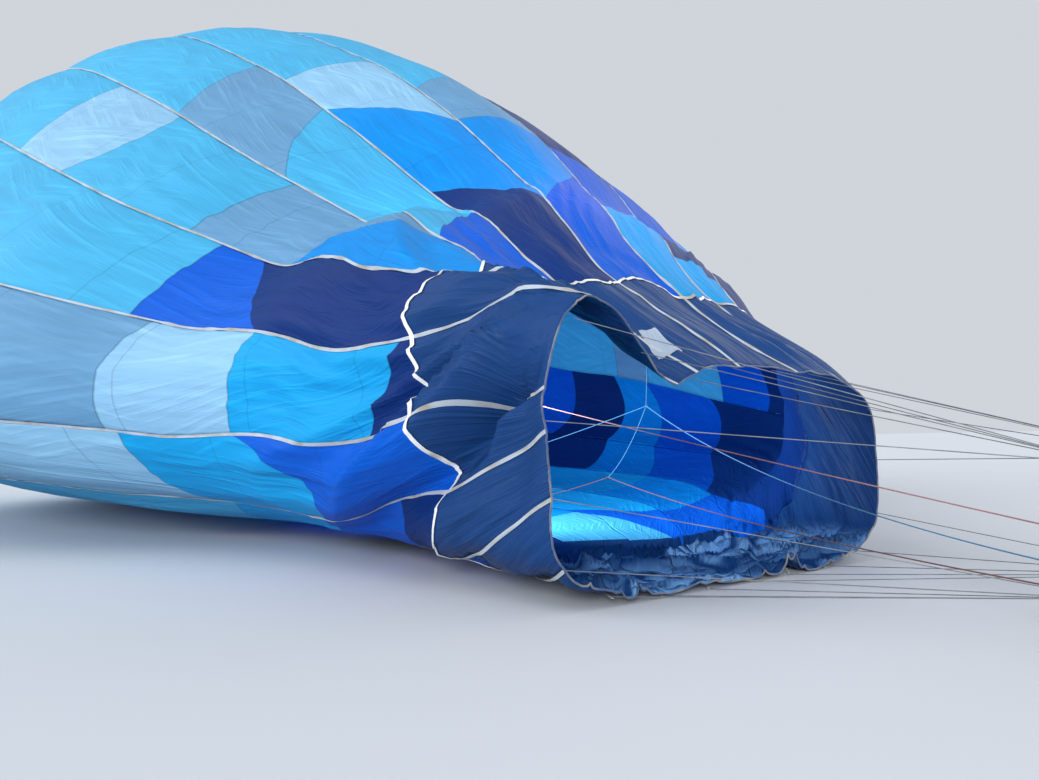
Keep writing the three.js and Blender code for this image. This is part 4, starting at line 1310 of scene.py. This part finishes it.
def add_uprights():
    """Padded sleeves over the uprights, each with a zip on its outer side and a strap at either end."""
    inset = WALL / 2 + RIM_CORNER * (1 - math.sqrt(0.5))
    for sx, sy, name in CORNERS:
        x, y = sx * (BASKET_DEPTH / 2 - inset), sy * (BASKET_WIDTH / 2 - inset)
        foot = np.array([x, y, RIM_Z + RIM_R + PLAY])
        head = np.array([*socket_place(sx, sy), LOAD_Z - SOCKET_DEPTH - PLAY])
        share = np.linspace(0, 1, 46)
        path = foot + (head - foot) * share[:, None]
        radius = UPRIGHT_R * (0.86 + 0.14 * fade(np.minimum(share, 1 - share), 0.0, 0.035))
        radius += 0.0011 * wander(share * 21 + sx, 3 + sy)
        sleeve = tube_piece(f"upright_sleeve_{name}", path, radius, 18)
        laid(sleeve, LEATHER, slot="red_leather", node=f"upright_{name}")
        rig.padded(sleeve, 0.7)
        out = np.array([sx, sy, 0.0]) / math.sqrt(2)
        zip_path = path[2:-2] + out * (UPRIGHT_R + 0.0006)
        tape = tube_piece("zip_tape", zip_path, ZIP_R, 6)
        teeth = stitches("zip_teeth", zip_path + out * 0.003, 0.006, 0.4, 0.0014)
        laid(joined(f"upright_zip_{name}", [tape, teeth]), DARK_LEATHER)
        half = (head - foot) / np.linalg.norm(head - foot) * UPRIGHT_STRAP_WIDTH / 2
        straps = []
        for at in UPRIGHT_STRAPS:
            middle = foot + (head - foot) * at
            strap = tube_piece("strap", [middle - half, middle, middle + half], UPRIGHT_R + 0.0022, 24)
            straps.append(bevelled(strap, 0.001, 2))
        laid(joined(f"upright_straps_{name}", straps), DARK_LEATHER)


TANK_R = 0.15
TANK_BODY = 0.64
TANK_STRAPS = (0.16, 0.46)
OUTLET_UP = 0.05
WHEEL_UP = 0.088
WHEEL_R = 0.026
TANK_X = (BASKET_DEPTH - 2 * WALL) / 2 - TANK_R - 0.012
TANK_Y = (BASKET_WIDTH - 2 * WALL) / 2 - TANK_R - 0.012


def add_tank(number, sx, sy):
    """A fuel tank with a foot ring, a domed top, a guard collar, a valve with a hand wheel and two straps."""
    x, y, z = sx * TANK_X, sy * TANK_Y, WALL_BOTTOM
    top = z + TANK_BODY
    angles = np.radians(np.arange(0, 84, 9))
    dome = [(TANK_R * math.cos(a), TANK_BODY - 0.03 + 0.062 * math.sin(a)) for a in angles]
    foot = [(0, 0.012), (TANK_R - 0.03, 0.012), (TANK_R - 0.022, 0.0), (TANK_R - 0.016, 0.0),
            (TANK_R - 0.014, 0.03), (TANK_R - 0.004, 0.05), (TANK_R, 0.07)]
    body = turned([*foot, *dome, (0, TANK_BODY + 0.034)], 64, (x, y, z))
    collar = turned([(0.066, TANK_BODY + 0.02), (0.07, TANK_BODY + 0.02), (0.07, TANK_BODY + 0.108),
                     (0.0715, TANK_BODY + 0.11), (0.0645, TANK_BODY + 0.11), (0.066, TANK_BODY + 0.108),
                     (0.066, TANK_BODY + 0.02)], 48, (x, y, z))
    fitted(f"tank_shell_{number}", [body, collar], ALUMINIUM, BODY, "tank_aluminium", f"fuel_tank_{number}")
    stem = turned([(0, 0.03), (0.018, 0.03), (0.018, 0.06), (0.012, 0.066), (0.012, 0.084), (0, 0.084)], 24,
                  (x, y, top))
    outlet = rod((x, y, top + OUTLET_UP), (x, y - sy * 0.055, top + OUTLET_UP), 0.009, 16)
    fitted(f"tank_valve_{number}", [stem, outlet], BRASS)
    wheel_z = top + WHEEL_UP
    wheel = [hoop(WHEEL_R, 0.0045, 32, 10, (x, y, wheel_z))]
    for dx, dy in ((0.025, 0), (0, 0.025)):
        wheel.append(rod((x - dx, y - dy, wheel_z), (x + dx, y + dy, wheel_z), 0.003, 8))
    fitted(f"tank_wheel_{number}", wheel, RED_ENAMEL)
    straps = []
    inner, outer = TANK_R + 0.0005, TANK_R + 0.004
    for height in TANK_STRAPS:
        profile = [(inner, height - 0.024), (outer, height - 0.022), (outer, height + 0.022),
                   (inner, height + 0.024), (inner, height - 0.024)]
        straps.append(turned(profile, 64, (x, y, z)))
        buckle = block((0.012, 0.05, 0.056), (x - sx * (TANK_R + 0.006), y, z + height))
        straps.append(bevelled(buckle, 0.003))
    fitted(f"tank_straps_{number}", straps, STRAP_WEBBING)


SKID_WIDTH = 0.07
SKID_LENGTH = BASKET_WIDTH - 0.06
SKID_PLACES = (-0.36, 0.0, 0.36)


def add_floor():
    """The plywood floor on three hardwood skids, with steel runners and coach bolts."""
    board = bevelled(block((BASKET_DEPTH, BASKET_WIDTH, FLOOR), (0, 0, SKID + FLOOR / 2)), 0.003)
    skids, fittings = [], []
    for place in SKID_PLACES:
        x = place * BASKET_DEPTH
        skid = block((SKID_WIDTH, SKID_LENGTH, SKID - 0.003), (x, 0, SKID / 2 + 0.0015))
        select_in(skid, "EDGE", lambda edge: all(v.co.z < SKID / 2 for v in edge.verts)
                  and abs(edge.verts[0].co.y - edge.verts[1].co.y) < 0.001)
        bpy.ops.mesh.bevel(offset=0.02, segments=5)
        leave_edit()
        skids.append(bevelled(skid, 0.002))
        fittings.append(bevelled(block((0.03, SKID_LENGTH - 0.06, 0.003), (x, 0, 0.0015)), 0.001))
        top, bolt_r = SKID + FLOOR, 0.009
        for y in np.linspace(-SKID_LENGTH / 2 + 0.06, SKID_LENGTH / 2 - 0.06, 7):
            fittings.append(bevelled(rod((x, y, 0.0), (x, y, 0.0045), 0.007, 16), 0.001))
            fittings.append(bevelled(rod((x, y, top), (x, y, top + 0.003), bolt_r, 16), 0.001))
    fitted("floor_board", [board, *skids], PLYWOOD, slot="plywood", node="basket_floor")
    fitted("floor_runners", fittings, STEEL)


# The burner

GIMBAL_DEPTH = 0.56
GIMBAL_WIDTH = 0.82
CAN_R = 0.122
CAN_BOTTOM = 0.12
CAN_HEIGHT = 0.33
CAN_SPREAD = 0.14
CAN_WALL = 0.003
CAN_BEAD = 0.003
RIVETS = 9
RIVET_PITCH = 0.029
COIL_R = 0.092
COIL_TUBE_R = 0.008
COIL_TURNS = 3

# Both cans, with the side that each stands on
CAN_SIDES = ((1, -1), (2, 1))


def add_can(number, y):
    """A burner can: rolled steel with a bead round either end, a riveted seam and a cross in its foot."""
    foot = LOAD_Z + CAN_BOTTOM
    inner, outer, bead, high = CAN_R - CAN_WALL, CAN_R, CAN_R + CAN_BEAD, CAN_HEIGHT
    profile = [(inner, 0.0), (outer, 0.0), (outer, 0.02), (bead, 0.026), (outer, 0.032),
               (outer, high - 0.026), (bead, high - 0.02), (outer, high - 0.014),
               (outer, high), (inner, high), (inner, 0.0)]
    parts = [turned(profile, 72, (0, y, foot)),
             bevelled(block((2 * inner, 0.024, 0.005), (0, y, foot + 0.006)), 0.001),
             bevelled(block((0.024, 2 * inner, 0.005), (0, y, foot + 0.0061)), 0.001)]
    for i in range(RIVETS):
        parts.append(primitive("uv_sphere", segments=10, ring_count=6, radius=0.0035,
                               location=(-outer, y, foot + 0.045 + i * RIVET_PITCH)))
    fitted(f"can_shell_{number}", parts, HEATED_STEEL, "burner", "stainless", f"burner_can_{number}")


def add_coil(number, y):
    """The vaporising coil with its feed and its jet."""
    bottom, rise = LOAD_Z + CAN_BOTTOM + 0.06, CAN_HEIGHT * 0.55
    turn = np.linspace(0, 1, 40 * COIL_TURNS)
    angle = TAU * COIL_TURNS * turn
    helix = np.stack([COIL_R * np.cos(angle), y + COIL_R * np.sin(angle), bottom + rise * turn], axis=-1)
    feed = [(0, y, bottom), (COIL_R * 0.5, y, bottom - 0.001), (COIL_R * 0.9, y, bottom)]
    tube = tubes_piece("coil", [evenly(feed, 0.01), helix], COIL_TUBE_R, 12)
    jet_profile = [(0, -0.03), (0.018, -0.03), (0.018, 0.004), (0.011, 0.012), (0, 0.012)]
    jet = turned(jet_profile, 24, (0, y, bottom))
    piece = joined(f"coil_tube_{number}", [smoothed(tube, 60), smoothed(jet)])
    laid(piece, HEATED_STEEL, "burner", "stainless", f"burner_coil_{number}")


def add_valves():
    """Levers, gauges and the pilot lights' taps on the two valve bodies."""
    for number, side in CAN_SIDES:
        y = side * CAN_SPREAD
        knob_place = (0.065, y, LOAD_Z - 0.175)
        lever = [rod((0.035, y, LOAD_Z - 0.05), (0.06, y, LOAD_Z - 0.075), 0.006, 12),
                 rod((0.06, y, LOAD_Z - 0.075), (0.065, y, LOAD_Z - 0.17), 0.0055, 12),
                 primitive("uv_sphere", segments=20, ring_count=12, radius=0.012, location=knob_place)]
        fitted(f"blast_lever_{number}", lever, RED_ENAMEL, "burner", angle=50)
        dial = bevelled(rod((-0.036, y, LOAD_Z - 0.03), (-0.06, y, LOAD_Z - 0.034), 0.026, 32), 0.002)
        rim = hoop(0.0255, 0.003, 32, 8, (-0.06, y, LOAD_Z - 0.034), FACING_X)
        fitted(f"pressure_gauge_{number}", [dial, rim], BRASS, "burner")
        inner, outer, z = y + side * 0.032, y + side * 0.06, LOAD_Z - 0.02
        tap = [rod((0.0, inner, z), (0.0, outer, z), 0.007, 12),
               rod((-0.018, outer, z), (0.018, outer, z), 0.005, 10)]
        fitted(f"pilot_tap_{number}", tap, BRASS, "burner", angle=50)


LOAD_TUBE_R = 0.016
GIMBAL_TUBE_R = 0.012
SOCKET_R = 0.021
BOSS_R = 0.02
BORE_R = 0.0092
PIN_R = 0.0085
LUG_Z = LOAD_Z + 0.042
LUG_HOLE_R = 0.015
RISER_R = 0.02
CROSS_TUBE_R = 0.017
BOLT_PLACES = ((-0.045, -0.055), (-0.045, 0.055), (0.045, -0.055), (0.045, 0.055))

# How far a pin goes past the middle of the tube that carries it
PIN_PAST = 0.014


def frame_ring(depth, width, corner, radius):
    """A frame's bent tube."""
    path = evenly(rounded_ring(depth, width, corner, LOAD_Z, 10), 0.014, ring=True)
    return tube_piece("ring", path, radius, 20, ring=True)


def boss(start, end):
    """A pin's bored boss, welded across a frame's tube."""
    start, end = Vector(start), Vector(end)
    past = (end - start).normalized() * 0.01
    return drilled(bevelled(rod(start, end, BOSS_R, 40), 0.002), rod(start - past, end + past, BORE_R, 32))


def weld(centre, axis, radius):
    return hoop(radius, 0.003, 36, 8, centre, Vector(axis).to_track_quat("Z", "Y").to_euler())


def add_load_frame():
    """The load frame: a bent tube with sockets for the uprights, lugs for the wires and the gimbal's
    bosses."""
    parts = [frame_ring(LOAD_DEPTH, LOAD_WIDTH, 0.09, LOAD_TUBE_R)]
    for sx, sy, _ in CORNERS:
        x, y = socket_place(sx, sy)
        parts.append(bevelled(rod((x, y, LOAD_Z - SOCKET_DEPTH), (x, y, LOAD_Z), SOCKET_R, 36), 0.002))
        parts.append(weld((x, y, LOAD_Z - 0.016), (0, 0, 1), SOCKET_R))
        x, y = sx * (LOAD_DEPTH / 2 - 0.045), sy * LOAD_WIDTH / 2
        lug = bevelled(block((0.056, 0.012, 0.072), (x, y, LUG_Z - 0.01)), 0.003)
        parts.append(drilled(lug, rod((x, y - 0.02, LUG_Z), (x, y + 0.02, LUG_Z), LUG_HOLE_R, 32)))
    for side in (-1, 1):
        face = side * LOAD_WIDTH / 2
        parts.append(boss((0, face - side * 0.034, LOAD_Z), (0, face + side * 0.02, LOAD_Z)))
    fitted("load_frame_tubes", parts, STEEL, slot="stainless", node="load_frame", angle=40)


def add_gimbal_frame():
    """The gimbal frame between the load frame and the burner, with its two pins and the burner's bosses."""
    parts = [frame_ring(GIMBAL_DEPTH, GIMBAL_WIDTH, 0.11, GIMBAL_TUBE_R)]
    for side in (-1, 1):
        end, reach = side * GIMBAL_WIDTH / 2, side * (LOAD_WIDTH / 2 + PIN_PAST)
        parts.append(rod((0, end, LOAD_Z), (0, reach, LOAD_Z), PIN_R, 28))
        parts.append(weld((0, end + side * 0.01, LOAD_Z), (0, 1, 0), PIN_R + 0.002))
        bar = side * GIMBAL_DEPTH / 2
        parts.append(boss((bar - side * 0.026, 0, LOAD_Z), (bar + side * 0.02, 0, LOAD_Z)))
    fitted("gimbal_frame_tubes", parts, STEEL, "gimbal", "stainless", "gimbal_frame", 40)


def add_burner_block():
    """The burner's cross tube, plate, valve bodies and fuel rods, with bolts through the plate."""
    pin, tube = GIMBAL_DEPTH / 2 + PIN_PAST, GIMBAL_DEPTH / 2 - 0.04
    parts = [rod((-pin, 0, LOAD_Z), (pin, 0, LOAD_Z), PIN_R, 28),
             bevelled(rod((-tube, 0, LOAD_Z), (tube, 0, LOAD_Z), CROSS_TUBE_R, 32), 0.002),
             bevelled(block((0.13, 0.48, 0.012), (0, 0, LOAD_Z + 0.04)), 0.004, 3),
             bevelled(block((0.06, 0.04, 0.06), (0, 0, LOAD_Z + 0.015)), 0.004, 3)]
    for side in (-1, 1):
        y = side * CAN_SPREAD
        body = bevelled(block((0.07, 0.064, 0.11), (0, y, LOAD_Z - 0.01)), 0.006, 3)
        heights = [LOAD_Z + 0.005 + i * 0.011 for i in range(3)]
        grooves = [block((0.08, 0.08, 0.004), (0, y, z)) for z in heights]
        cores = [block((0.06, 0.054, 0.006), (0, y, z)) for z in heights]
        parts += [drilled(body, *grooves), *cores]
        riser_top = LOAD_Z + CAN_BOTTOM + 0.03
        parts.append(bevelled(rod((0, y, LOAD_Z + 0.04), (0, y, riser_top), RISER_R, 32), 0.001))
        parts.append(bevelled(rod((-0.09, y, LOAD_Z - 0.04), (0.09, y, LOAD_Z - 0.04), 0.011, 24), 0.002))
        for x, aside in BOLT_PLACES:
            bolt = rod((x, y + aside, LOAD_Z + 0.045), (x, y + aside, LOAD_Z + 0.052), 0.007, 6)
            parts.append(bevelled(bolt, 0.0008))
    fitted("burner_block_casting", parts, CAST, "burner", "cast_aluminium", "burner_block")


def finish_kept_nodes():
    """The links, wires and crown tapes keep their solids and get their finishes."""
    for name in frame["nodes"]:
        for start, finish in (("wire_link", STEEL), ("flying_wires", WIRE), ("crown_tapes", LOAD_WEBBING)):
            if name.startswith(start):
                node = frame["nodes"][name]
                node.data.materials.clear()
                node.data.materials.append(finish)


# Basket finishes

def leather(name, code, worn):
    """Thick leather with a pebbled grain, creases and paler rubbed patches."""
    finish = Finish(name, specular_ior_level=0.4)
    place = finish.object_place()
    cells = finish.node("ShaderNodeTexVoronoi", {"Vector": place, "Scale": 320.0}, feature="DISTANCE_TO_EDGE")
    creases = finish.noise(place, 26, 5, 0.6)
    paler_patches = finish.between(finish.noise(place, 5, 6, 0.62), 0.5, 0.75)
    tone = finish.mix(finish.between(creases, 0.3, 0.62), finish.tinted(code, "b39a9a"), code)
    colour = finish.mix(finish.times(paler_patches, 0.35), tone, worn)
    grain = finish.bump(cells.outputs[0], 0.0006, 0.5)
    return finish.surface(colour, paler_patches, 0.25, 0.38, finish.bump(creases, 0.003, 0.6, grain))


def wicker():
    """Willow strands: straw with browner ones among them, in patches, and pale fibres along each."""
    finish = Finish("willow_wicker", specular_ior_level=0.35)
    uv, _, _ = finish.cloth_place()
    place = finish.object_place()
    fibres = finish.noise(finish.stretched(uv, (9.0, 14.0, 1.0)), 1.0, 5, 0.6)
    patches = finish.between(finish.noise(place, 3.0, 3), 0.45, 0.75)
    tone = finish.mix(finish.between(finish.noise(place, 46, 1), 0.35, 0.7), "e0b871", "b98543")
    tone = finish.mix(patches, tone, "8d5f2c")
    colour = finish.mix(finish.times(fibres, 0.45), tone, "f0d9a2")
    return finish.surface(colour, fibres, 0.3, 0.4, finish.bump(fibres, 0.0012, 0.6))


def brushed_metal(name, code, roughness, metallic=1.0):
    """Metal brushed along one way, with smudges."""
    finish = Finish(name, metallic=metallic)
    place = finish.object_place()
    lines = finish.noise(finish.stretched(place, (4.0, 4.0, 120.0)), 3.0, 4, 0.6)
    smudges = finish.noise(place, 6, 4)
    colour = finish.mix(finish.between(smudges, 0.35, 0.75), code, "8b8e91")
    uneven = finish.math("ADD", lines, smudges)
    return finish.surface(colour, uneven, 0.18, roughness - 0.12, finish.bump(lines, 0.0003, 0.35))


def heated_steel():
    """Stainless steel with straw and blue heat tints towards the cans' mouths."""
    finish = Finish("heat_tinted_steel", metallic=1.0)
    place = finish.object_place()
    x = finish.node("ShaderNodeSeparateXYZ", {0: place}).outputs[0]
    blotch = finish.noise(place, 9, 4)
    height = finish.scaled(blotch, 0.09, finish.times(x, -1.0))
    top = -(BASKET_FLOOR_X - LOAD_Z - CAN_BOTTOM - CAN_HEIGHT)
    straw = finish.mix(finish.between(height, top - 0.16, top - 0.06), "c9cbcc", "c79a5a")
    blue = finish.mix(finish.between(height, top - 0.08, top + 0.03), straw, "5a6796")
    lines = finish.noise(finish.stretched(place, (120.0, 4.0, 4.0)), 3.0, 3)
    return finish.surface(blue, blotch, 0.3, 0.15, finish.bump(lines, 0.0003, 0.3))


def plywood():
    """Wood with rings along it and dark scuffs."""
    finish = Finish("floor_plywood", specular_ior_level=0.4)
    place = finish.object_place()
    grain = finish.stretched(place, (60.0, 1.4, 9.0))
    waves = {"Vector": grain, "Scale": 1.0, "Distortion": 5.0, "Detail": 3.0}
    rings = finish.node("ShaderNodeTexWave", waves, wave_type="BANDS").outputs["Fac"]
    scuffs = finish.between(finish.noise(place, 9, 6, 0.6), 0.5, 0.7)
    wood = finish.mix(rings, "b98a55", "8a5c30")
    colour = finish.mix(finish.times(scuffs, 0.5), wood, "5b4632")
    return finish.surface(colour, scuffs, 0.25, 0.45, finish.bump(rings, 0.0006, 0.4))


def enamel(name, code):
    """Glossy enamel, chipped here and there."""
    finish = Finish(name, coat_weight=0.4, coat_roughness=0.15)
    chips = finish.between(finish.noise(finish.object_place(), 60, 5), 0.62, 0.7)
    return finish.surface(finish.mix(chips, code, "8c8f92"), chips, 0.3, 0.3)


# The crown, seen from behind

VENT_X = -18.7
VENT_Y = 0.95
VENT_Z = 4.6
VENT_R = 1.88
VENT_RIM_X = VENT_X + 0.13
VENT_BULGE = 0.22
VENT_SECTORS = 12


def vent_dome(share):
    """How far the vent panel bulges at a share of its radius."""
    return VENT_BULGE * (1 - share ** 2)


def add_vent_panel():
    """The round valve panel in sewn sectors, pressed against the crown tapes and dented between them."""
    rings, spokes = 26, 160
    radius = np.linspace(0, VENT_R, rings)[:, None]
    angle = TAU * np.arange(spokes)[None, :] / spokes
    r, a = np.broadcast_arrays(radius, angle)
    share = r / VENT_R
    puff = 0.03 * share * np.abs(np.cos(a * GORES / 2)) * (1 - share ** 6)
    fold = 0.012 * share ** 2 * wander(a * 14 / TAU * 3, r * 2.2)
    x = VENT_RIM_X - vent_dome(share) + puff + fold
    grid = np.stack([x, VENT_Y + r * np.cos(a), VENT_Z + r * np.sin(a)], axis=-1)
    panel = grid_piece("vent_cloth", grid, pairs(a / TAU * VENT_SECTORS, r), ring=True)
    select_in(panel, "VERT", lambda v: True)
    bpy.ops.mesh.remove_doubles(threshold=0.0001)
    leave_edit()
    thicken(panel, CLOTH_THICKNESS)
    dress(panel, VENT_CLOTH, "vent", "fabric_navy", "vent_panel")
    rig.sheet(panel, flat=(2 * VENT_R, 2 * VENT_R), held="stretched", area=math.pi * VENT_R ** 2)


CROWN_X = VENT_X - 0.17
CROWN_PLATE_R = 0.215
CROWN_RING_R = 0.052
CROWN_TAPE = 0.06
CROWN_TAPE_END = 1.706
CROWN_STITCHES = (0.27, 0.34, 1.5, 1.62)
CROWN_BOX = 0.045


def on_crown(r, angle, x, aside=0.0):
    """A point on the crown's face at a radius and an angle, moved aside from that spoke."""
    sine, cosine = math.sin(angle), math.cos(angle)
    return (x, VENT_Y + r * cosine - aside * sine, VENT_Z + r * sine + aside * cosine)


def add_crown():
    """The patch and ring over the crown tapes' meeting point, and the tapes' box stitching."""
    face = CROWN_X - 0.008
    patch = turned([(0, 0), (0.196, 0), (0.2, 0.0015), (0.196, 0.003), (0, 0.003)], 72)
    patch.data.transform(Matrix.Translation((face, VENT_Y, VENT_Z)) @ Matrix.Rotation(-TAU / 4, 4, "Y"))
    dress(smoothed(joined("crown_patch", [patch])), WHITE_WEBBING)
    turns = np.linspace(0, TAU, 97)
    rows = [stitches("thread", [on_crown(r, a, face - 0.0035) for a in turns], 0.018) for r in (0.186, 0.09)]
    inner = CROWN_PLATE_R - 0.012
    slope = (VENT_X - 0.004 - CROWN_X) / (CROWN_TAPE_END - inner)
    half = CROWN_TAPE * 0.4
    for seam in range(GORES):
        rim = envelope_point(LENGTH, seam + 0.5)
        angle = math.atan2(rim[2] - VENT_Z, rim[1] - VENT_Y)
        for r in CROWN_STITCHES:
            x = CROWN_X + slope * (r - inner) - 0.0055
            for aside in (-half, half):
                start = on_crown(r, angle, x, aside)
                end = on_crown(r + CROWN_BOX, angle, x + CROWN_BOX * slope, -aside)
                rows.append(stitches("thread", [start, end], 0.016))
    dress(joined("crown_stitches", rows), THREAD)
    ring = hoop(CROWN_RING_R, 0.0065, 56, 14, (face - 0.009, VENT_Y, VENT_Z), FACING_X)
    dress(smoothed(joined("crown_ring", [ring])), STEEL)
    # radius and distance behind the face
    loop = ((0.105, 0.004), (0.075, 0.013), (CROWN_RING_R, 0.019), (0.04, 0.012), (0.036, 0.0))
    loops = []
    for angle in np.radians((45, 135, 225, 315)):
        loops.append(evenly([on_crown(r, angle, face - behind) for r, behind in loop], 0.008))
    dress(tubes_piece("crown_ring_loops", loops, 0.006, 8), LOAD_WEBBING)


# The plate's corners on the cloth, as distance and gore
DATA_PLATE = ((0.62, 8.69), (0.56, 8.94), (0.25, 8.85), (0.27, 8.24))


def add_data_plate():
    """A blank pale patch sewn on the mouth's upper panel."""
    a, b, c, d = np.array(DATA_PLATE)
    u = np.linspace(0, 1, 18)[:, None, None]
    v = np.linspace(0, 1, 18)[None, :, None]
    where = (a * (1 - u) + b * u) * (1 - v) + (d * (1 - u) + c * u) * v
    grid = cloth_point(where[..., 0], where[..., 1], 0.006)
    piece = grid_piece("mouth_patch", grid, pairs(u[..., 0] * 0.3, v[..., 0] * 0.3))
    dress(smoothed(thicken(piece, 0.002)), PATCH_CLOTH)
    t = np.linspace(0.04, 0.96, 14)[:, None]
    edge = np.concatenate([one * (1 - t) + two * t for one, two in ((a, b), (b, c), (c, d), (d, a))])
    middle = edge.mean(axis=0)
    edge = middle + (edge - middle) * 0.93
    dress(stitches("mouth_patch_stitches", cloth_point(edge[:, 0], edge[:, 1], 0.009), 0.018), THREAD)


# The lines inside the envelope, each drawn tight between its two ends with the sag given

KNOT_HIGH = (-4.6, 3.4, 1.58)
KNOT_LOW = (-5.0, 2.97, 0.53)
YOKE = (-17.3, VENT_Y, VENT_Z)
FRAME_X = BASKET_FLOOR_X - LOAD_Z
FRAME_FAR = (FRAME_X, 0.672, 0.36)
LINE_R = 0.0055
YOKE_SHARE = 0.86
LINES = (
    # name, start, end, sag, finish
    ("side_line_high", KNOT_HIGH, (FRAME_X, 0.3, 0.245), 0.3, "line_cyan"),
    ("side_line_back", (-12.0, 2.0, 0.06), KNOT_HIGH, 0.15, "line_cyan"),
    ("side_line_top", (-6.5, 5.5, 5.15), KNOT_HIGH, 0.0, "line_cyan"),
    ("side_line_down", KNOT_HIGH, KNOT_LOW, 0.12, "line_cyan"),
    ("side_line_low", KNOT_LOW, (FRAME_X, -0.2, 0.245), 0.12, "line_red"),
    ("side_line_floor", (-7.2, 2.6, 0.06), KNOT_LOW, 0.05, "line_red"),
)


def sagging(start, end, sag, count=60):
    share = np.linspace(0, 1, count)[:, None]
    path = np.array(start) * (1 - share) + np.array(end) * share
    path[:, 2] -= 4 * sag * (share * (1 - share))[:, 0]
    return path


def knot(name, place, finish):
    """An overhand knot: a trefoil of the same cord."""
    t = np.linspace(0, TAU, 72, endpoint=False)
    size = LINE_R * 2.1
    path = np.stack([np.sin(t) + 2 * np.sin(2 * t), np.cos(t) - 2 * np.cos(2 * t), -1.4 * np.sin(3 * t)],
                    axis=-1)
    dress(tube_piece(name, np.array(place) + path * size * 0.55, LINE_R, 8, ring=True), finish)


def add_lines():
    """The side lines with their two knots, and the line that pulls the vent panel inwards."""
    codes = {"line_cyan": "27a0d8", "line_red": "7a1f28"}
    finishes = {name: braided_cord(name, code) for name, code in codes.items()}
    for name, start, end, sag, finish in LINES:
        dress(tube_piece(name, sagging(start, end, sag), LINE_R, 8), finishes[finish])
    knot("knot_high", KNOT_HIGH, finishes["line_cyan"])
    knot("knot_low", KNOT_LOW, finishes["line_red"])
    pull = braided_cord("vent_line_pink", "c98a8f")
    line = tube_piece("vent_line", sagging(YOKE, FRAME_FAR, 0.22, 160), LINE_R, 8)
    line.data.materials.append(pull)
    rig.blend(line, "vent", BODY, start=YOKE, end=FRAME_FAR)
    legs = []
    for sector in range(VENT_SECTORS):
        foot_x = VENT_RIM_X - vent_dome(YOKE_SHARE) + 0.012
        foot = on_crown(VENT_R * YOKE_SHARE, sector * TAU / VENT_SECTORS, foot_x)
        legs.append(sagging(foot, YOKE, 0.0, 6))
    dress(tubes_piece("vent_yoke", legs, 0.004, 6), pull, "vent")
    ring = hoop(0.02, 0.004, 36, 10, YOKE, FACING_X)
    dress(smoothed(joined("vent_yoke_ring", [ring])), STEEL, "vent")


add_camera()
add_stage()
# 7db4ea is the paler colour of the painted light on the slate cloth that lies on the ground.
SLATE_CLOTH = flameproof_cloth("slate_flameproof_cloth", COLOURS["slate"], "7db4ea")
VENT_CLOTH = plain_cloth("vent_nylon", COLOURS["navy"], 0.3)
LOAD_WEBBING = webbing("load_tape_webbing", "a9b4c0")
HEM_WEBBING = webbing("hem_webbing", "2f4a76")
WHITE_WEBBING = webbing("white_webbing", "eef0f0")
STRAP_WEBBING = webbing("red_strap_webbing", "a3202a")
LEATHER = leather("red_leather", "b5121d", "cf5a4c")
PATCH_CLOTH = plain_cloth("patch_cloth", "b9c6d6", 0.1)
DARK_LEATHER = leather("dark_leather", "3a2320", "6d5146")
THREAD = webbing("pale_thread", "e8e0cc")
WICKER = wicker()
STEEL = brushed_metal("brushed_stainless", "c2c5c9", 0.3)
WIRE = brushed_metal("wire_rope_steel", "6d7176", 0.5, 0.6)
CAST = brushed_metal("cast_aluminium", "a4a7aa", 0.5)
ALUMINIUM = brushed_metal("tank_aluminium", "c0c3c7", 0.36)
BRASS = brushed_metal("brass", "b8924c", 0.34)
HEATED_STEEL = heated_steel()
PLYWOOD = plywood()
RED_ENAMEL = enamel("red_enamel", "b8121b")
for number in range(1, GORES + 1):
    add_gore(number)
for number in range(1, GORES // GORES_PER_MOUTH_PANEL + 1):
    add_mouth_panel(number)
add_belt_tape()
add_mouth_hem()
add_vent_panel()
add_walls()
add_foothole_trim()
add_corner_leather()
add_scuff_leather()
add_rim()
add_uprights()
for number, (sx, sy) in enumerate(((-1, -1), (-1, 1), (1, -1)), 1):
    add_tank(number, sx, sy)
add_floor()
for number, side in CAN_SIDES:
    add_can(number, side * CAN_SPREAD)
    add_coil(number, side * CAN_SPREAD)
add_load_frame()
add_gimbal_frame()
add_burner_block()
add_valves()
finish_kept_nodes()
add_crown()
add_data_plate()
add_lines()

with open("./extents.json", "w") as out:
    json.dump({"cad": [list(corner) for corner in cad_box],
               "visual": [list(corner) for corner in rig.bounds()]}, out)
